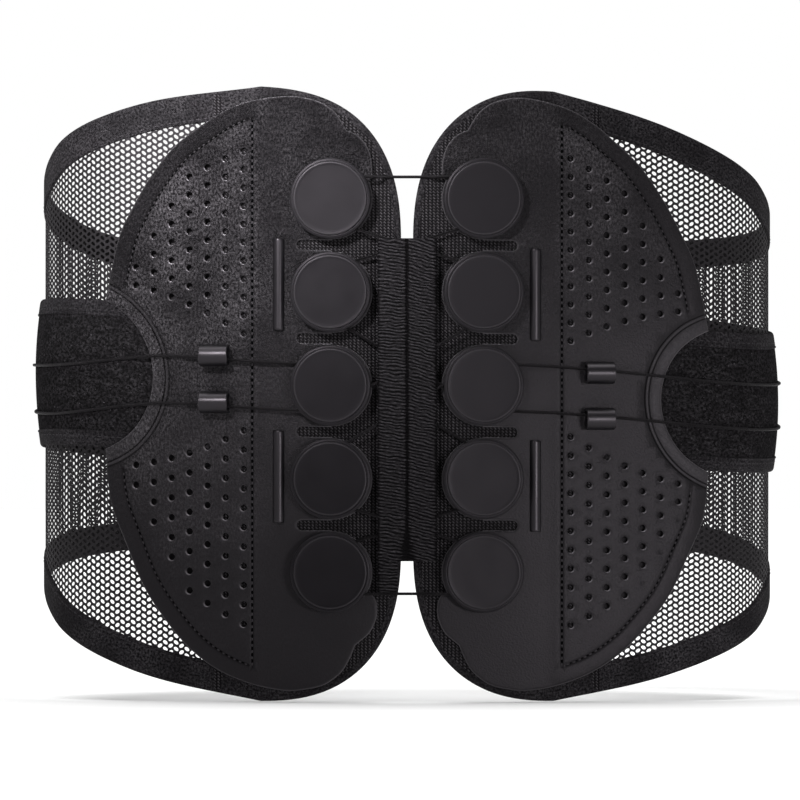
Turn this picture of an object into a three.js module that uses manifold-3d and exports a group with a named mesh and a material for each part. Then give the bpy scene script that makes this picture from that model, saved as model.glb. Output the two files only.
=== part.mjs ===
// A lumbar back brace with a pulley lacing: a fabric belt in a closed-up C round the waist, two moulded
// shells over the back, five pulleys on each shell, two lacing cords that draw the shells together, and a
// pull tab on each wing. Millimetres, +Z up. The origin is the middle of the waist. The back faces -Y and
// the wings end at the front, +Y.
import * as THREE from "three";
import { mergeVertices } from "three/addons/utils/BufferGeometryUtils.js";
import Module from "manifold-3d";

// ---- Driving dimensions ----
const HALF_WIDTH = 145; // waist centre to the side of the belt
const BACK_RADIUS = 450;
const SIDE_RADIUS = 48;
const FRONT_RADIUS = 150;
const HALF_HEIGHT = 120.6; // of the back panels, at their tallest
const PANEL_EDGE = 3.2; // half the gap between the two back panels
const APEX = 58; // how far from the spine the panels are tallest
const MESH_START = 75.3;
const HINGE = 149; // where a side bends, measured round the belt from the spine
const HINGE_GAP = 0.7;
const WING_END = 350;
const HARDWARE_Z = 3.8; // height of the middle pulleys
const LEAN = 7.2; // how much higher the left side rides, and how much lower the right side
const STRAP_Z = HARDWARE_Z - 0.8;
const STRAP_HALF = 28;
const ELASTIC_HALF = 11.5;

const PULLEY_X = 29.8;
const PULLEY_PITCH = 37;
const PULLEYS = 5;
const CORD_RADIUS = 0.6;
const GROOVE_RADIUS = 7.6;
const RUN_RADIUS = GROOVE_RADIUS + CORD_RADIUS + 0.4;
const SHEAVE = { bore: 2.8, rim: 9.6, thick: 2, wall: 0.25 };
const STEM_RADIUS = 2.5;
const CAP = { flange: 15.9, disc: 14.4, top: 11.1, under: 9.3 };
const PAD_RADIUS = 16.2;

// Layers, as distances out from the belt's own surface.
const LINER = [-4, -0.4];
const MESH = [0, 1.2];
const PANEL_TOP = 2.6;
const STRAP = [1.5, 2.6];
const SHELL = [2.9, 4.5];
const ELASTIC = [7.7, 8.7];
const CLOSURE = [1.5, 2.9];
const TAB_HOOK = [3.2, 4.4];
const TAB = [4.7, 7.5];
const SHEAVE_BASE = { low: 4.8, high: 7.0 };
const ON_STRAP = STRAP[1] + CORD_RADIUS + 0.35;

const wasm = await Module();
wasm.setup();

const clamp01 = (v) => Math.min(1, Math.max(0, v));
const smooth = (a, b, v) => {
  const t = clamp01((v - a) / (b - a));
  return t * t * (3 - 2 * t);
};
const mix = (a, b, t) => a + (b - a) * t;

// ---- The belt's line round the waist: a back arc, a side arc and a front arc, tangent to each other ----
const SIDE_CENTRE_X = HALF_WIDTH - SIDE_RADIUS;
const BACK_ANGLE = Math.asin(SIDE_CENTRE_X / (BACK_RADIUS - SIDE_RADIUS));
const FRONT_ANGLE = Math.asin(SIDE_CENTRE_X / (FRONT_RADIUS - SIDE_RADIUS));
const SIDE_ANGLE = Math.PI - BACK_ANGLE - FRONT_ANGLE;
const BACK_DEPTH = BACK_RADIUS - (BACK_RADIUS - SIDE_RADIUS) * Math.cos(BACK_ANGLE);
const FRONT_DEPTH = FRONT_RADIUS - (FRONT_RADIUS - SIDE_RADIUS) * Math.cos(FRONT_ANGLE);
const HALF_DEPTH = (BACK_DEPTH + FRONT_DEPTH) / 2;
const SIDE_CENTRE_Y = BACK_DEPTH - HALF_DEPTH;
const BACK_END = BACK_RADIUS * BACK_ANGLE;
const SIDE_END = BACK_END + SIDE_RADIUS * SIDE_ANGLE;
const FRONT_CENTRE_Y = HALF_DEPTH - FRONT_RADIUS;

// The point and heading at a distance s round the belt from the spine: negative to the left, positive
// to the right.
function beltAt(s) {
  const side = s < 0 ? -1 : 1;
  const run = Math.abs(s);
  let angle = run / BACK_RADIUS;
  let arc = { radius: BACK_RADIUS, cx: 0, cy: BACK_RADIUS - HALF_DEPTH };
  if (run > SIDE_END) {
    angle = BACK_ANGLE + SIDE_ANGLE + (run - SIDE_END) / FRONT_RADIUS;
    arc = { radius: FRONT_RADIUS, cx: 0, cy: FRONT_CENTRE_Y };
  } else if (run > BACK_END) {
    angle = BACK_ANGLE + (run - BACK_END) / SIDE_RADIUS;
    arc = { radius: SIDE_RADIUS, cx: SIDE_CENTRE_X, cy: SIDE_CENTRE_Y };
  }
  const { radius, cx, cy } = arc;
  const normal = new THREE.Vector3(side * Math.sin(angle), -Math.cos(angle), 0);
  const [x, y] = [cx + radius * Math.sin(angle), cy - radius * Math.cos(angle)];
  const point = new THREE.Vector3(side * x, y, 0);
  return { point, normal, heading: side * angle };
}

// How far the fabric rides up (left) or down (right) at a place on the belt; the lowest edge stays level.
function lean(s, z) {
  const run = Math.abs(s);
  const bump = smooth(30, HINGE, run) - smooth(HINGE, 260, run);
  return -Math.sign(s) * LEAN * bump * clamp01((z + 110) / 110);
}

function place(s, z, out) {
  const { point, normal } = beltAt(s);
  return point.addScaledVector(normal, out).setZ(z + lean(s, z));
}

// A group standing on the belt: its +Y points out of the belt and its +Z up.
function station(s, z) {
  const group = new THREE.Group();
  group.position.copy(place(s, z, 0));
  group.rotation.z = Math.PI + beltAt(s).heading;
  return group;
}

// ---- Edges of the belt ----
// A smooth curve through a few [s, z] points, level with the straight lines between their neighbours.
function through(points) {
  const slope = points.map((p, i) => {
    const [a, b] = [points[Math.max(0, i - 1)], points[Math.min(points.length - 1, i + 1)]];
    return (b[1] - a[1]) / (b[0] - a[0]);
  });
  return (s) => {
    let i = points.findIndex((p) => s <= p[0]);
    i = Math.max(1, i < 0 ? points.length - 1 : i);
    const [[s0, z0], [s1, z1]] = [points[i - 1], points[i]];
    const width = s1 - s0;
    const t = clamp01((s - s0) / width);
    const bend = slope[i - 1] * t * (1 - t) * (1 - t) + slope[i] * t * t * (t - 1);
    return z0 + width * bend + (z1 - z0) * t * t * (3 - 2 * t);
  };
}
const outerEdge = through([[APEX, HALF_HEIGHT], [98, 112.4], [125, 103.2], [147, 93.6], [160, 86], [185, 73],
  [230, 64.5], [300, 60], [WING_END, 58]]);

// Half the belt's height: a rounded shoulder from the notch at the spine to the apex, then the long taper.
const NOTCH = 62;
const SHOULDER_POWER = 2.45;
const CORNER = 26;
function edge(s) {
  const run = Math.abs(s);
  if (run >= APEX) {
    const past = Math.max(0, run - (WING_END - CORNER));
    return outerEdge(run) - (CORNER - Math.sqrt(Math.max(0, CORNER * CORNER - past * past)));
  }
  const u = clamp01((APEX - run) / (APEX - PANEL_EDGE));
  const rise = Math.pow(Math.max(0, 1 - Math.pow(u, SHOULDER_POWER)), 1 / SHOULDER_POWER);
  return NOTCH - 2 + (HALF_HEIGHT - NOTCH + 2) * rise;
}

// ---- Solids ----
// A strip of the belt: at each station it runs from bottom to top and from inner to outer.
function strip({ stations, bottom, top, inner, outer }) {
  const corners = stations.flatMap((s) => {
    const [lo, hi, a, b] = [bottom(s), top(s), inner(s), outer(s)];
    return [place(s, lo, a), place(s, hi, a), place(s, hi, b), place(s, lo, b)];
  });
  const index = [];
  const quad = (a, b, c, d) => index.push(a, b, c, a, c, d);
  for (let i = 0; i + 1 < stations.length; i++) {
    const [p, q] = [4 * i, 4 * i + 4];
    for (let k = 0; k < 4; k++) quad(p + k, p + ((k + 1) % 4), q + ((k + 1) % 4), q + k);
  }
  const last = corners.length - 4;
  quad(3, 2, 1, 0);
  quad(last, last + 1, last + 2, last + 3);
  const geometry = new THREE.BufferGeometry().setFromPoints(corners);
  geometry.setIndex(index);
  return geometry.toNonIndexed();
}

const between = (a, b, count) => Array.from({ length: count + 1 }, (_, i) => mix(a, b, i / count));
// Stations on one side of the belt, in the order that a strip needs: s grows from first to last.
const onSide = (side, runs) => (side > 0 ? runs : runs.map((r) => -r).reverse());
const constant = (v) => () => v;

function toManifold(geometry) {
  const bare = geometry.clone();
  bare.deleteAttribute("normal");
  bare.deleteAttribute("uv");
  const merged = mergeVertices(bare, 1e-4);
  return new wasm.Manifold(new wasm.Mesh({
    numProp: 3,
    vertProperties: merged.attributes.position.array,
    triVerts: new Uint32Array(merged.index.array),
  }));
}

function fromManifold(solid) {
  const mesh = solid.getMesh();
  const geometry = new THREE.BufferGeometry();
  geometry.setAttribute("position", new THREE.BufferAttribute(mesh.vertProperties, 3));
  geometry.setIndex(new THREE.BufferAttribute(mesh.triVerts, 1));
  return geometry.toNonIndexed();
}

// A prism through the belt's back: an outline in X and Z, run along Y past both faces of the belt.
const BACK_Y = [-HALF_DEPTH - 30, 40];
function prismThroughBack(outline) {
  const depth = BACK_Y[1] - BACK_Y[0];
  const geometry = new THREE.ExtrudeGeometry(new THREE.Shape(outline), { depth, bevelEnabled: false });
  geometry.rotateX(Math.PI / 2); // the shape's Y is now Z, and its depth runs along -Y
  geometry.translate(0, BACK_Y[1], 0);
  return toManifold(geometry);
}

function tube(points, radius, sides) {
  // The route passes through every point, so that a bend can have more points than a straight.
  class Route extends THREE.Curve {
    getPoint(t) {
      const at = t * (points.length - 1);
      const i = Math.min(points.length - 2, Math.floor(at));
      return points[i].clone().lerp(points[i + 1], at - i);
    }
    getPointAt(t) {
      return this.getPoint(t);
    }
    getTangentAt(t) {
      const i = Math.round(t * (points.length - 1));
      const [a, b] = [points[Math.max(0, i - 1)], points[Math.min(points.length - 1, i + 1)]];
      return b.clone().sub(a).normalize();
    }
  }
  const ring = between(0, 1, sides).slice(0, -1).map((t) =>
    new THREE.Vector2(radius * Math.cos(2 * Math.PI * t), radius * Math.sin(2 * Math.PI * t)));
  return new THREE.ExtrudeGeometry(new THREE.Shape(ring), {
    steps: points.length - 1, extrudePath: new Route(), bevelEnabled: false,
  });
}

// ---- Materials ----
const material = (color, roughness) => new THREE.MeshStandardMaterial({ color, roughness, metalness: 0 });
const FABRIC = material(0x1b1b1d, 0.95);
const MESH_FABRIC = material(0x161617, 0.9);
const LOOP = material(0x121213, 1);
const HOOK = material(0x101011, 0.8);
const LEATHERETTE = material(0x232325, 0.55);
const PLASTIC = material(0x2a2a2c, 0.45);
const SHEAVE_PLASTIC = material(0x3a3a3d, 0.5);
const CORD = material(0x141415, 0.8);

const brace = new THREE.Group();
function add(name, geometry, surface, parent = brace) {
  const mesh = new THREE.Mesh(geometry, surface);
  mesh.name = name;
  parent.add(mesh);
  return mesh;
}

// ---- Belt fabric ----
function addBelt(side, name) {
  const shoulder = [PANEL_EDGE, 3.6, 5, 7, 10, 13, 15, 20, 27, 36, 46, APEX, 66, 75];
  add(`${name}_back_panel`, strip({
    stations: onSide(side, shoulder),
    bottom: (s) => -edge(s),
    top: edge,
    inner: constant(MESH[0]),
    outer: (s) => mix(MESH[1], PANEL_TOP, smooth(13, 15, Math.abs(s))),
  }), FABRIC);
  add(`${name}_liner_pad`, strip({
    stations: onSide(side, [6, 8, 12, 20, 40, 60, 80, 90, 96, 99, 101]),
    bottom: (s) => -linerEdge(s),
    top: linerEdge,
    inner: constant(LINER[0]),
    outer: constant(LINER[1]),
  }), FABRIC);
  add(`${name}_side_mesh`, strip({
    stations: onSide(side, between(MESH_START, HINGE - HINGE_GAP, 12)),
    bottom: (s) => -edge(s),
    top: edge,
    inner: constant(MESH[0]),
    outer: constant(MESH[1]),
  }), MESH_FABRIC);
  const corner = [WING_END - CORNER, WING_END - 15, WING_END - 7, WING_END - 2, WING_END];
  add(`${name}_wing_mesh`, strip({
    stations: onSide(side, [...between(HINGE + HINGE_GAP, 200, 8), ...between(210, 312, 9), ...corner]),
    bottom: (s) => -edge(s),
    top: edge,
    inner: constant(MESH[0]),
    outer: constant(MESH[1]),
  }), MESH_FABRIC);
}

// The liner pad's half height: a rounded rectangle behind the shell.
function linerEdge(s) {
  const along = Math.abs((Math.abs(s) - 53.5) / 47.5);
  return 62 + 36 * Math.pow(Math.max(0, 1 - Math.pow(along, 3)), 1 / 3);
}

function addStraps(side, name) {
  const flat = (runs, half, layer) => strip({
    stations: onSide(side, runs),
    bottom: constant(STRAP_Z - half),
    top: constant(STRAP_Z + half),
    inner: constant(layer[0]),
    outer: constant(layer[1]),
  });
  add(`${name}_side_strap`, flat(between(76, HINGE - HINGE_GAP, 12), STRAP_HALF, STRAP), LOOP);
  add(`${name}_wing_strap`, flat(between(HINGE + HINGE_GAP, 255, 12), STRAP_HALF, STRAP), LOOP);
  const reach = (s) => {
    const past = Math.max(0, Math.abs(s) - 331);
    return 36 + Math.sqrt(Math.max(0, 14 * 14 - past * past));
  };
  add(`${name}_closure_panel`, strip({
    stations: onSide(side, [...between(256, 331, 6), 338, 342, 345]),
    bottom: (s) => -reach(s),
    top: reach,
    inner: constant(CLOSURE[0]),
    outer: constant(CLOSURE[1]),
  }), side < 0 ? LOOP : HOOK);
}

// The elastic's lower end is cut off level, except that a leg of it runs on down the left back panel.
const ELASTIC_LEG = { edge: -3.5, bottom: -78 };
const ELASTIC_BOTTOM = -66;
function addElastic() {
  add("lumbar_elastic", strip({
    stations: [-ELASTIC_HALF, -7.5, ELASTIC_LEG.edge - 0.1, ELASTIC_LEG.edge, 0, 3.8, 7.6, ELASTIC_HALF],
    bottom: (s) => (s < ELASTIC_LEG.edge ? ELASTIC_LEG.bottom : ELASTIC_BOTTOM),
    top: constant(NOTCH),
    inner: constant(ELASTIC[0]),
    outer: constant(ELASTIC[1]),
  }), FABRIC);
}

// ---- Shells ----
const pulleyZ = (row) => HARDWARE_Z + PULLEY_PITCH * (2 - row); // row 0 is the top one
const NOTCH_CENTRE = [132.2, 2.7];
const NOTCH_RADIUS = 31.2;
const NOTCH_TIP = 120; // how far out the shell's two points reach beside the strap
const SLOT_END = 43.5;
const SLOT_HALF = 2;
const vectors = (points) => points.map(([x, z]) => new THREE.Vector2(x, z));

// The shell's outline on the flat: over the top from the point beside the strap to the pulley column, from
// the column round the bottom to the lower point, and back along the cut for the strap.
function shellOutline(side) {
  const top = new THREE.Path();
  const tipAngle = Math.acos((NOTCH_TIP - NOTCH_CENTRE[0]) / NOTCH_RADIUS);
  const tipZ = NOTCH_RADIUS * Math.sin(tipAngle);
  top.moveTo(NOTCH_TIP, NOTCH_CENTRE[1] + tipZ);
  top.splineThru(vectors([[115, 55.5], [110, 67.7], [102, 82], [92.5, 94.6], [84, 102], [74, 109.6],
    [63, 115], [48, 118], [38, 117.2], [31, 114.3], [26.8, 110], [23.9, 104.9]]));
  top.splineThru(vectors([[20, 103.3], [16.2, 99.3], [14, 93.5], [13.6, 86]]));
  top.lineTo(PULLEY_X, pulleyZ(0));
  const bottom = new THREE.Path();
  bottom.moveTo(PULLEY_X, pulleyZ(4));
  bottom.lineTo(13.6, -79.4);
  bottom.splineThru(vectors([[12.2, -81.5], [11.9, -87.5], [14.6, -94], [20.4, -99.2]]));
  bottom.splineThru(vectors([[22.6, -104.5], [26, -110], [32.5, -114.8], [40, -116.7], [48, -117.2],
    [60, -115], [74, -109.5], [86, -101], [96, -90], [105, -77], [112, -61], [118, -45]]));
  bottom.lineTo(NOTCH_TIP, NOTCH_CENTRE[1] - tipZ);
  const cut = new THREE.Path();
  cut.absarc(...NOTCH_CENTRE, NOTCH_RADIUS, -tipAngle, -2 * Math.PI + tipAngle, true);
  return [...top.getPoints(3), ...bottom.getPoints(3), ...cut.getPoints(14).slice(1, -1)].map(({ x, y }) => {
    const on = place(side * x, y, SHELL[1]);
    return new THREE.Vector2(on.x, on.z);
  });
}

function circle(x, z, radius, count) {
  return between(0, 2 * Math.PI, count).slice(0, -1).map((a) =>
    new THREE.Vector2(x + radius * Math.cos(a), z + radius * Math.sin(a)));
}

// A slot between two pulley pads, from inside the column to its round end.
function slotOutline(side, z) {
  const end = new THREE.Path().absarc(SLOT_END - SLOT_HALF, z, SLOT_HALF, -Math.PI / 2, Math.PI / 2, false);
  const [low, high] = vectors([[8, z - SLOT_HALF], [8, z + SLOT_HALF]]);
  return [low, ...end.getPoints(4), high].map(({ x, y }) => new THREE.Vector2(side * x, y));
}

function addShell(side, name) {
  const slab = toManifold(strip({
    stations: onSide(side, [8, 30, 52, 70, 88, 104, 110, 115, 120, 126]),
    bottom: constant(-125),
    top: constant(140),
    inner: constant(SHELL[0]),
    outer: constant(SHELL[1]),
  }));
  let plan = prismThroughBack(shellOutline(side));
  for (let row = 0; row < PULLEYS; row++) {
    plan = plan.add(prismThroughBack(circle(side * PULLEY_X, pulleyZ(row), PAD_RADIUS, 24)));
  }
  for (let row = 0; row + 1 < PULLEYS; row++) {
    plan = plan.subtract(prismThroughBack(slotOutline(side, (pulleyZ(row) + pulleyZ(row + 1)) / 2)));
  }
  add(`${name}_shell`, fromManifold(slab.intersect(plan)), LEATHERETTE);
}

// The stays sit a little higher on the left shell than on the right one.
const STAY = { x: 50.5, offset: 38, shift: 1.5, length: 36.4, width: 4.4, height: 1.9 };
function addStays(side, name) {
  for (const [which, sign] of [["upper", 1], ["lower", -1]]) {
    const section = new THREE.Shape();
    section.moveTo(-STAY.width / 2, 0);
    section.lineTo(STAY.width / 2, 0);
    section.absellipse(0, 0.4, STAY.width / 2, STAY.height - 0.4, 0, Math.PI, false);
    const rod = { depth: STAY.length, bevelEnabled: false, curveSegments: 6 };
    const at = stationIn(side * STAY.x, HARDWARE_Z + sign * STAY.offset - side * STAY.shift);
    const mesh = add(`${name}_${which}_stay`, new THREE.ExtrudeGeometry(section, rod), PLASTIC, at);
    mesh.position.set(0, SHELL[1] + 0.3, -STAY.length / 2);
  }
}

function stationIn(s, z) {
  const group = station(s, z);
  brace.add(group);
  return group;
}

// ---- Pulleys ----
const capProfile = [[0, SHELL[1] + 0.3], [STEM_RADIUS, SHELL[1] + 0.3], [STEM_RADIUS, CAP.under],
  [CAP.flange, CAP.under], [CAP.flange, CAP.under + 0.8], [CAP.disc + 0.3, CAP.under + 1],
  [CAP.disc - 0.4, CAP.top], [0, CAP.top]];
function sheaveProfile(base) {
  const { bore, rim, thick, wall } = SHEAVE;
  const section = [[bore, 0], [rim, 0], [rim, wall], [GROOVE_RADIUS, wall], [GROOVE_RADIUS, thick - wall],
    [rim, thick - wall], [rim, thick], [bore, thick], [bore, 0]];
  return section.map(([r, y]) => [r, base + y]);
}
const turned = (profile, segments) =>
  new THREE.LatheGeometry(profile.map(([r, y]) => new THREE.Vector2(r, y)), segments);

const ROW_NAMES = ["top", "upper", "middle", "lower", "bottom"];
// The level of each single sheave; the middle pulleys carry two, one above the other.
const LEVELS = {
  left: ["high", "low", "both", "high", "low"],
  right: ["low", "high", "both", "low", "high"],
};

function addPulleys(side, name) {
  ROW_NAMES.forEach((rowName, row) => {
    const at = stationIn(side * PULLEY_X, pulleyZ(row));
    add(`${name}_${rowName}_pulley_cap`, turned(capProfile, 20), PLASTIC, at);
    const level = LEVELS[name][row];
    for (const which of level === "both" ? ["low", "high"] : [level]) {
      const suffix = level === "both" ? (which === "low" ? "_inner" : "_outer") : "";
      const sheave = turned(sheaveProfile(SHEAVE_BASE[which]), 14);
      add(`${name}_${rowName}${suffix}_sheave`, sheave, SHEAVE_PLASTIC, at);
    }
  });
}

// ---- Cord guides: short tubes on the shell that the two strands run through ----
// Like the stays, they sit a little higher on the left shell than on the right one.
const GUIDE = { s: 75.3, shift: 1.15, radius: 4.35, bore: 3.2, length: 11.6, up: 9.2, cord: 7.6 };
const GUIDE_AXIS = SHELL[1] + 0.35 + GUIDE.radius;
function addGuides(side, name) {
  for (const [which, sign] of [["upper", 1], ["lower", -1]]) {
    const half = GUIDE.length / 2;
    const { bore, radius } = GUIDE;
    const barrel = turned([[bore, -half], [radius, -half], [radius, half], [bore, half], [bore, -half]], 20);
    barrel.rotateZ(Math.PI / 2); // along the belt
    barrel.translate(0, GUIDE_AXIS, 0);
    const foot = new THREE.BoxGeometry(GUIDE.length - 2, 0.9, 6);
    foot.translate(0, SHELL[1] + 0.75, 0);
    const body = fromManifold(toManifold(barrel).add(toManifold(foot)));
    const at = stationIn(side * GUIDE.s, STRAP_Z + sign * GUIDE.up - side * GUIDE.shift);
    add(`${name}_${which}_cord_guide`, body, PLASTIC, at);
  }
}

// ---- Lacing ----
const LEVEL_OUT = { low: SHEAVE_BASE.low + SHEAVE.thick / 2, high: SHEAVE_BASE.high + SHEAVE.thick / 2 };
const TUNNEL = { low: { rim: 5.25, middle: 4.2 }, high: { rim: 6.9, middle: 5.6 } };
const BARE_CROSSING = 1.9; // the height of a crossing above or below the elastic
const SHEAVE_EDGE = PULLEY_X - SHEAVE.rim - 0.4;
const TUNNEL_RIM = 12.5;
const TUNNEL_FLOOR = 7;

// A point on a cord's run round a pulley, at an angle seen from behind the wearer's back.
function onPulley(stop, angle) {
  const { point, normal } = beltAt(stop.x);
  const along = new THREE.Vector3(-normal.y, normal.x, 0);
  return point.clone()
    .addScaledVector(along, RUN_RADIUS * Math.cos(angle))
    .addScaledVector(normal, LEVEL_OUT[stop.level])
    .setZ(stop.z + RUN_RADIUS * Math.sin(angle));
}

// The direction in which a cord leaves one pulley for the next; turn is 1 anticlockwise and -1 clockwise.
function leaving(from, to) {
  const [dx, dz] = [to.x - from.x, to.z - from.z];
  return Math.atan2(dz, dx) - Math.asin((RUN_RADIUS * (to.turn - from.turn)) / Math.hypot(dx, dz));
}
const touchAngle = (stop, direction) => direction - (stop.turn * Math.PI) / 2;

function arcPoints(stop, from, to) {
  let sweep = (to - from) * stop.turn;
  sweep -= 2 * Math.PI * Math.floor(sweep / (2 * Math.PI));
  const count = Math.max(1, Math.ceil(sweep / (Math.PI / 6)));
  return between(0, sweep, count).map((a) => onPulley(stop, from + stop.turn * a));
}

// The crossing of the gap between two pulleys: down off the sheaves, level under the elastic, and up again.
function crossing(from, to, start, end) {
  const bare = from.row === to.row;
  const descent = ({ level }) => {
    const { rim, middle } = TUNNEL[level];
    const floor = bare ? BARE_CROSSING : middle;
    return [[SHEAVE_EDGE, LEVEL_OUT[level]], [TUNNEL_RIM, rim], [TUNNEL_FLOOR, floor]];
  };
  const side = Math.sign(start.x);
  const out = descent(from).map(([x, o]) => [side * x, o]);
  const back = descent(to).reverse().map(([x, o]) => [-side * x, o]);
  return [...out, ...back].map(([x, o]) => {
    const t = (x - start.x) / (end.x - start.x);
    return place(x, mix(start.z, end.z, t), o);
  });
}

// How far a strand has dropped on the side strap, past its guide; the left ones hang lower.
const cordSag = (side, s) => (side < 0 ? 7.5 : 1) * smooth(GUIDE.s + 7, HINGE, s);

// A strand from the side of the belt, through its guide, to the edge of a middle sheave.
function strandIn(side, sign, level) {
  const z = STRAP_Z + sign * GUIDE.up;
  const lying = between(HINGE - HINGE_GAP - 0.3, 112, 6).map((s) => [s, ON_STRAP]);
  const inGuide = [[GUIDE.s + 7, GUIDE.cord], [GUIDE.s - 7, GUIDE.cord]];
  const runs = [...lying, [104.5, 5.6], [97, 6], ...inGuide, [56, 6.9],
    [PULLEY_X + SHEAVE.rim + 0.8, LEVEL_OUT[level]]];
  return runs.map(([s, o]) => place(side * s, z - cordSag(side, s), o));
}

function lacing(stops) {
  const first = stops[0];
  const last = stops[stops.length - 1];
  const points = strandIn(-1, -first.turn, first.level);
  let arriving = 0; // the strand comes in level, from the left
  stops.forEach((stop, i) => {
    const next = stops[i + 1];
    const direction = next ? leaving(stop, next) : 0;
    const arc = arcPoints(stop, touchAngle(stop, arriving), touchAngle(stop, direction));
    points.push(...arc);
    if (next) {
      const start = arc[arc.length - 1];
      const end = onPulley(next, touchAngle(next, direction));
      points.push(...crossing(stop, next, start, end));
    }
    arriving = direction;
  });
  return [...points, ...strandIn(1, -last.turn, last.level).reverse()];
}

const stop = (side, row, turn, level) => ({ x: side * PULLEY_X, z: pulleyZ(row), row, turn, level });
function addCords() {
  const upper = [stop(-1, 2, 1, "high"), stop(1, 1, 1, "high"), stop(-1, 0, -1, "high"),
    stop(1, 0, -1, "low"), stop(-1, 1, 1, "low"), stop(1, 2, 1, "low")];
  const lower = [stop(-1, 2, -1, "low"), stop(1, 3, -1, "low"), stop(-1, 4, 1, "low"),
    stop(1, 4, 1, "high"), stop(-1, 3, -1, "high"), stop(1, 2, -1, "high")];
  add("upper_lacing_cord", tube(lacing(upper), CORD_RADIUS, 8), CORD);
  add("lower_lacing_cord", tube(lacing(lower), CORD_RADIUS, 8), CORD);
}

// ---- Pull tabs ----
const TAB_RUN = [264, 338];
const CORD_END = TAB_RUN[0] + 6;
const CORD_BEND = 8; // radius of the cord's turn round the bar in the tab
const FINGER_HOLE = { s: 310, rs: 14, rz: 11 };

// Half the tab's height along its run: wide where the cords come in, and round at the thumb end.
function tabHalf(s) {
  const [a, b] = TAB_RUN;
  const t = clamp01((Math.abs(s) - a) / (b - a));
  const nose = Math.sqrt(Math.max(0, 1 - Math.pow(clamp01((t - 0.62) / 0.38), 2)));
  const heel = Math.sqrt(Math.max(0, 1 - Math.pow(1 - clamp01(t / 0.12), 2)));
  return 6 + mix(20, 15, t) * Math.min(nose, 0.45 + 0.55 * heel);
}

function addTab(side, name) {
  const [a, b] = TAB_RUN;
  const runs = [a, a + 3, a + 9, a + 18, a + 27, a + 36, a + 46, a + 54, a + 61, a + 67, a + 71, b];
  const body = toManifold(strip({
    stations: onSide(side, runs),
    bottom: (s) => STRAP_Z - tabHalf(s),
    top: (s) => STRAP_Z + tabHalf(s),
    inner: constant(TAB[0]),
    outer: constant(TAB[1]),
  }));
  const at = station(side * FINGER_HOLE.s, STRAP_Z);
  at.updateMatrixWorld(true);
  const hole = new THREE.CylinderGeometry(1, 1, 12, 24).scale(FINGER_HOLE.rs, 1, FINGER_HOLE.rz);
  hole.translate(0, TAB[0] + 1, 0).applyMatrix4(at.matrixWorld);
  // The two strands are one loop: in at one edge, round a bar in the tab's heel, and out at the other.
  const loop = [...tabStrand(side, 1), ...tabStrand(side, -1).reverse()];
  const bore = toManifold(tube(loop, CORD_RADIUS + 0.35, 8));
  add(`${name}_pull_tab`, fromManifold(body.subtract(toManifold(hole)).subtract(bore)), PLASTIC);
  add(`${name}_tab_hook_pad`, strip({
    stations: onSide(side, between(a + 14, FINGER_HOLE.s - FINGER_HOLE.rs - 2, 4)),
    bottom: constant(STRAP_Z - 16),
    top: constant(STRAP_Z + 16),
    inner: constant(TAB_HOOK[0]),
    outer: constant(TAB_HOOK[1]),
  }), HOOK);
  add(`${name}_pull_cord`, tube(loop, CORD_RADIUS, 8), CORD);
}

// One strand on a wing, from the hinge to the middle of the bar in the tab.
function tabStrand(side, sign) {
  const middle = (TAB[0] + TAB[1]) / 2;
  const z = (s) => {
    const risen = smooth(HINGE, 240, s);
    return STRAP_Z + sign * mix(GUIDE.up, CORD_BEND, risen) - cordSag(side, HINGE) * (1 - risen);
  };
  const flat = [...between(HINGE + HINGE_GAP + 0.3, 190, 7), ...between(200, 250, 5)];
  const lying = flat.map((s) => [s, ON_STRAP]);
  const rising = [[256, ON_STRAP + 0.9], [262, middle - 0.4], [CORD_END, middle]];
  const run = [...lying, ...rising].map(([s, o]) => place(side * s, z(s), o));
  const bend = [Math.PI * 0.175, Math.PI * 0.375].map((angle) => {
    const s = CORD_END + CORD_BEND * Math.sin(angle);
    return place(side * s, STRAP_Z + sign * CORD_BEND * Math.cos(angle), middle);
  });
  return [...run, ...bend];
}

// ---- Assembly ----
addElastic();
for (const [side, name] of [[-1, "left"], [1, "right"]]) {
  addBelt(side, name);
  addStraps(side, name);
  addShell(side, name);
  addStays(side, name);
  addPulleys(side, name);
  addGuides(side, name);
  addTab(side, name);
}
addCords();

export default brace;
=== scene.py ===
import math

import bmesh
import bpy
import numpy as np
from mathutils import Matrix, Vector, noise
from mathutils.geometry import delaunay_2d_cdt


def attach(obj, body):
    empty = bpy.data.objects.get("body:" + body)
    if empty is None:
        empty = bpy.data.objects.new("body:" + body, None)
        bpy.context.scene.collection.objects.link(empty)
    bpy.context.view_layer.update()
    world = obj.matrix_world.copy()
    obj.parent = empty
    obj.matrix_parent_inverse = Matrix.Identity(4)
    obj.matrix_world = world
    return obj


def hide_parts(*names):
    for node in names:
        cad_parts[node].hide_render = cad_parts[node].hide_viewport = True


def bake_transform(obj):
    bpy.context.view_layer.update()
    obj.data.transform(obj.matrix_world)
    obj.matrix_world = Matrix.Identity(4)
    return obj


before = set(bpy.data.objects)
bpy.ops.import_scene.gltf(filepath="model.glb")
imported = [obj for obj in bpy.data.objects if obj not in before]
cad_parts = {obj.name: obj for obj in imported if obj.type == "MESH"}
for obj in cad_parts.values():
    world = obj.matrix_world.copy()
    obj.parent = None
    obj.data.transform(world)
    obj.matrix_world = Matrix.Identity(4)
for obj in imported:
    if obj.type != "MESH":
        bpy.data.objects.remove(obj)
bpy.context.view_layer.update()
METRES = 0.001
SIDES = (("left", -1), ("right", 1))

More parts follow.
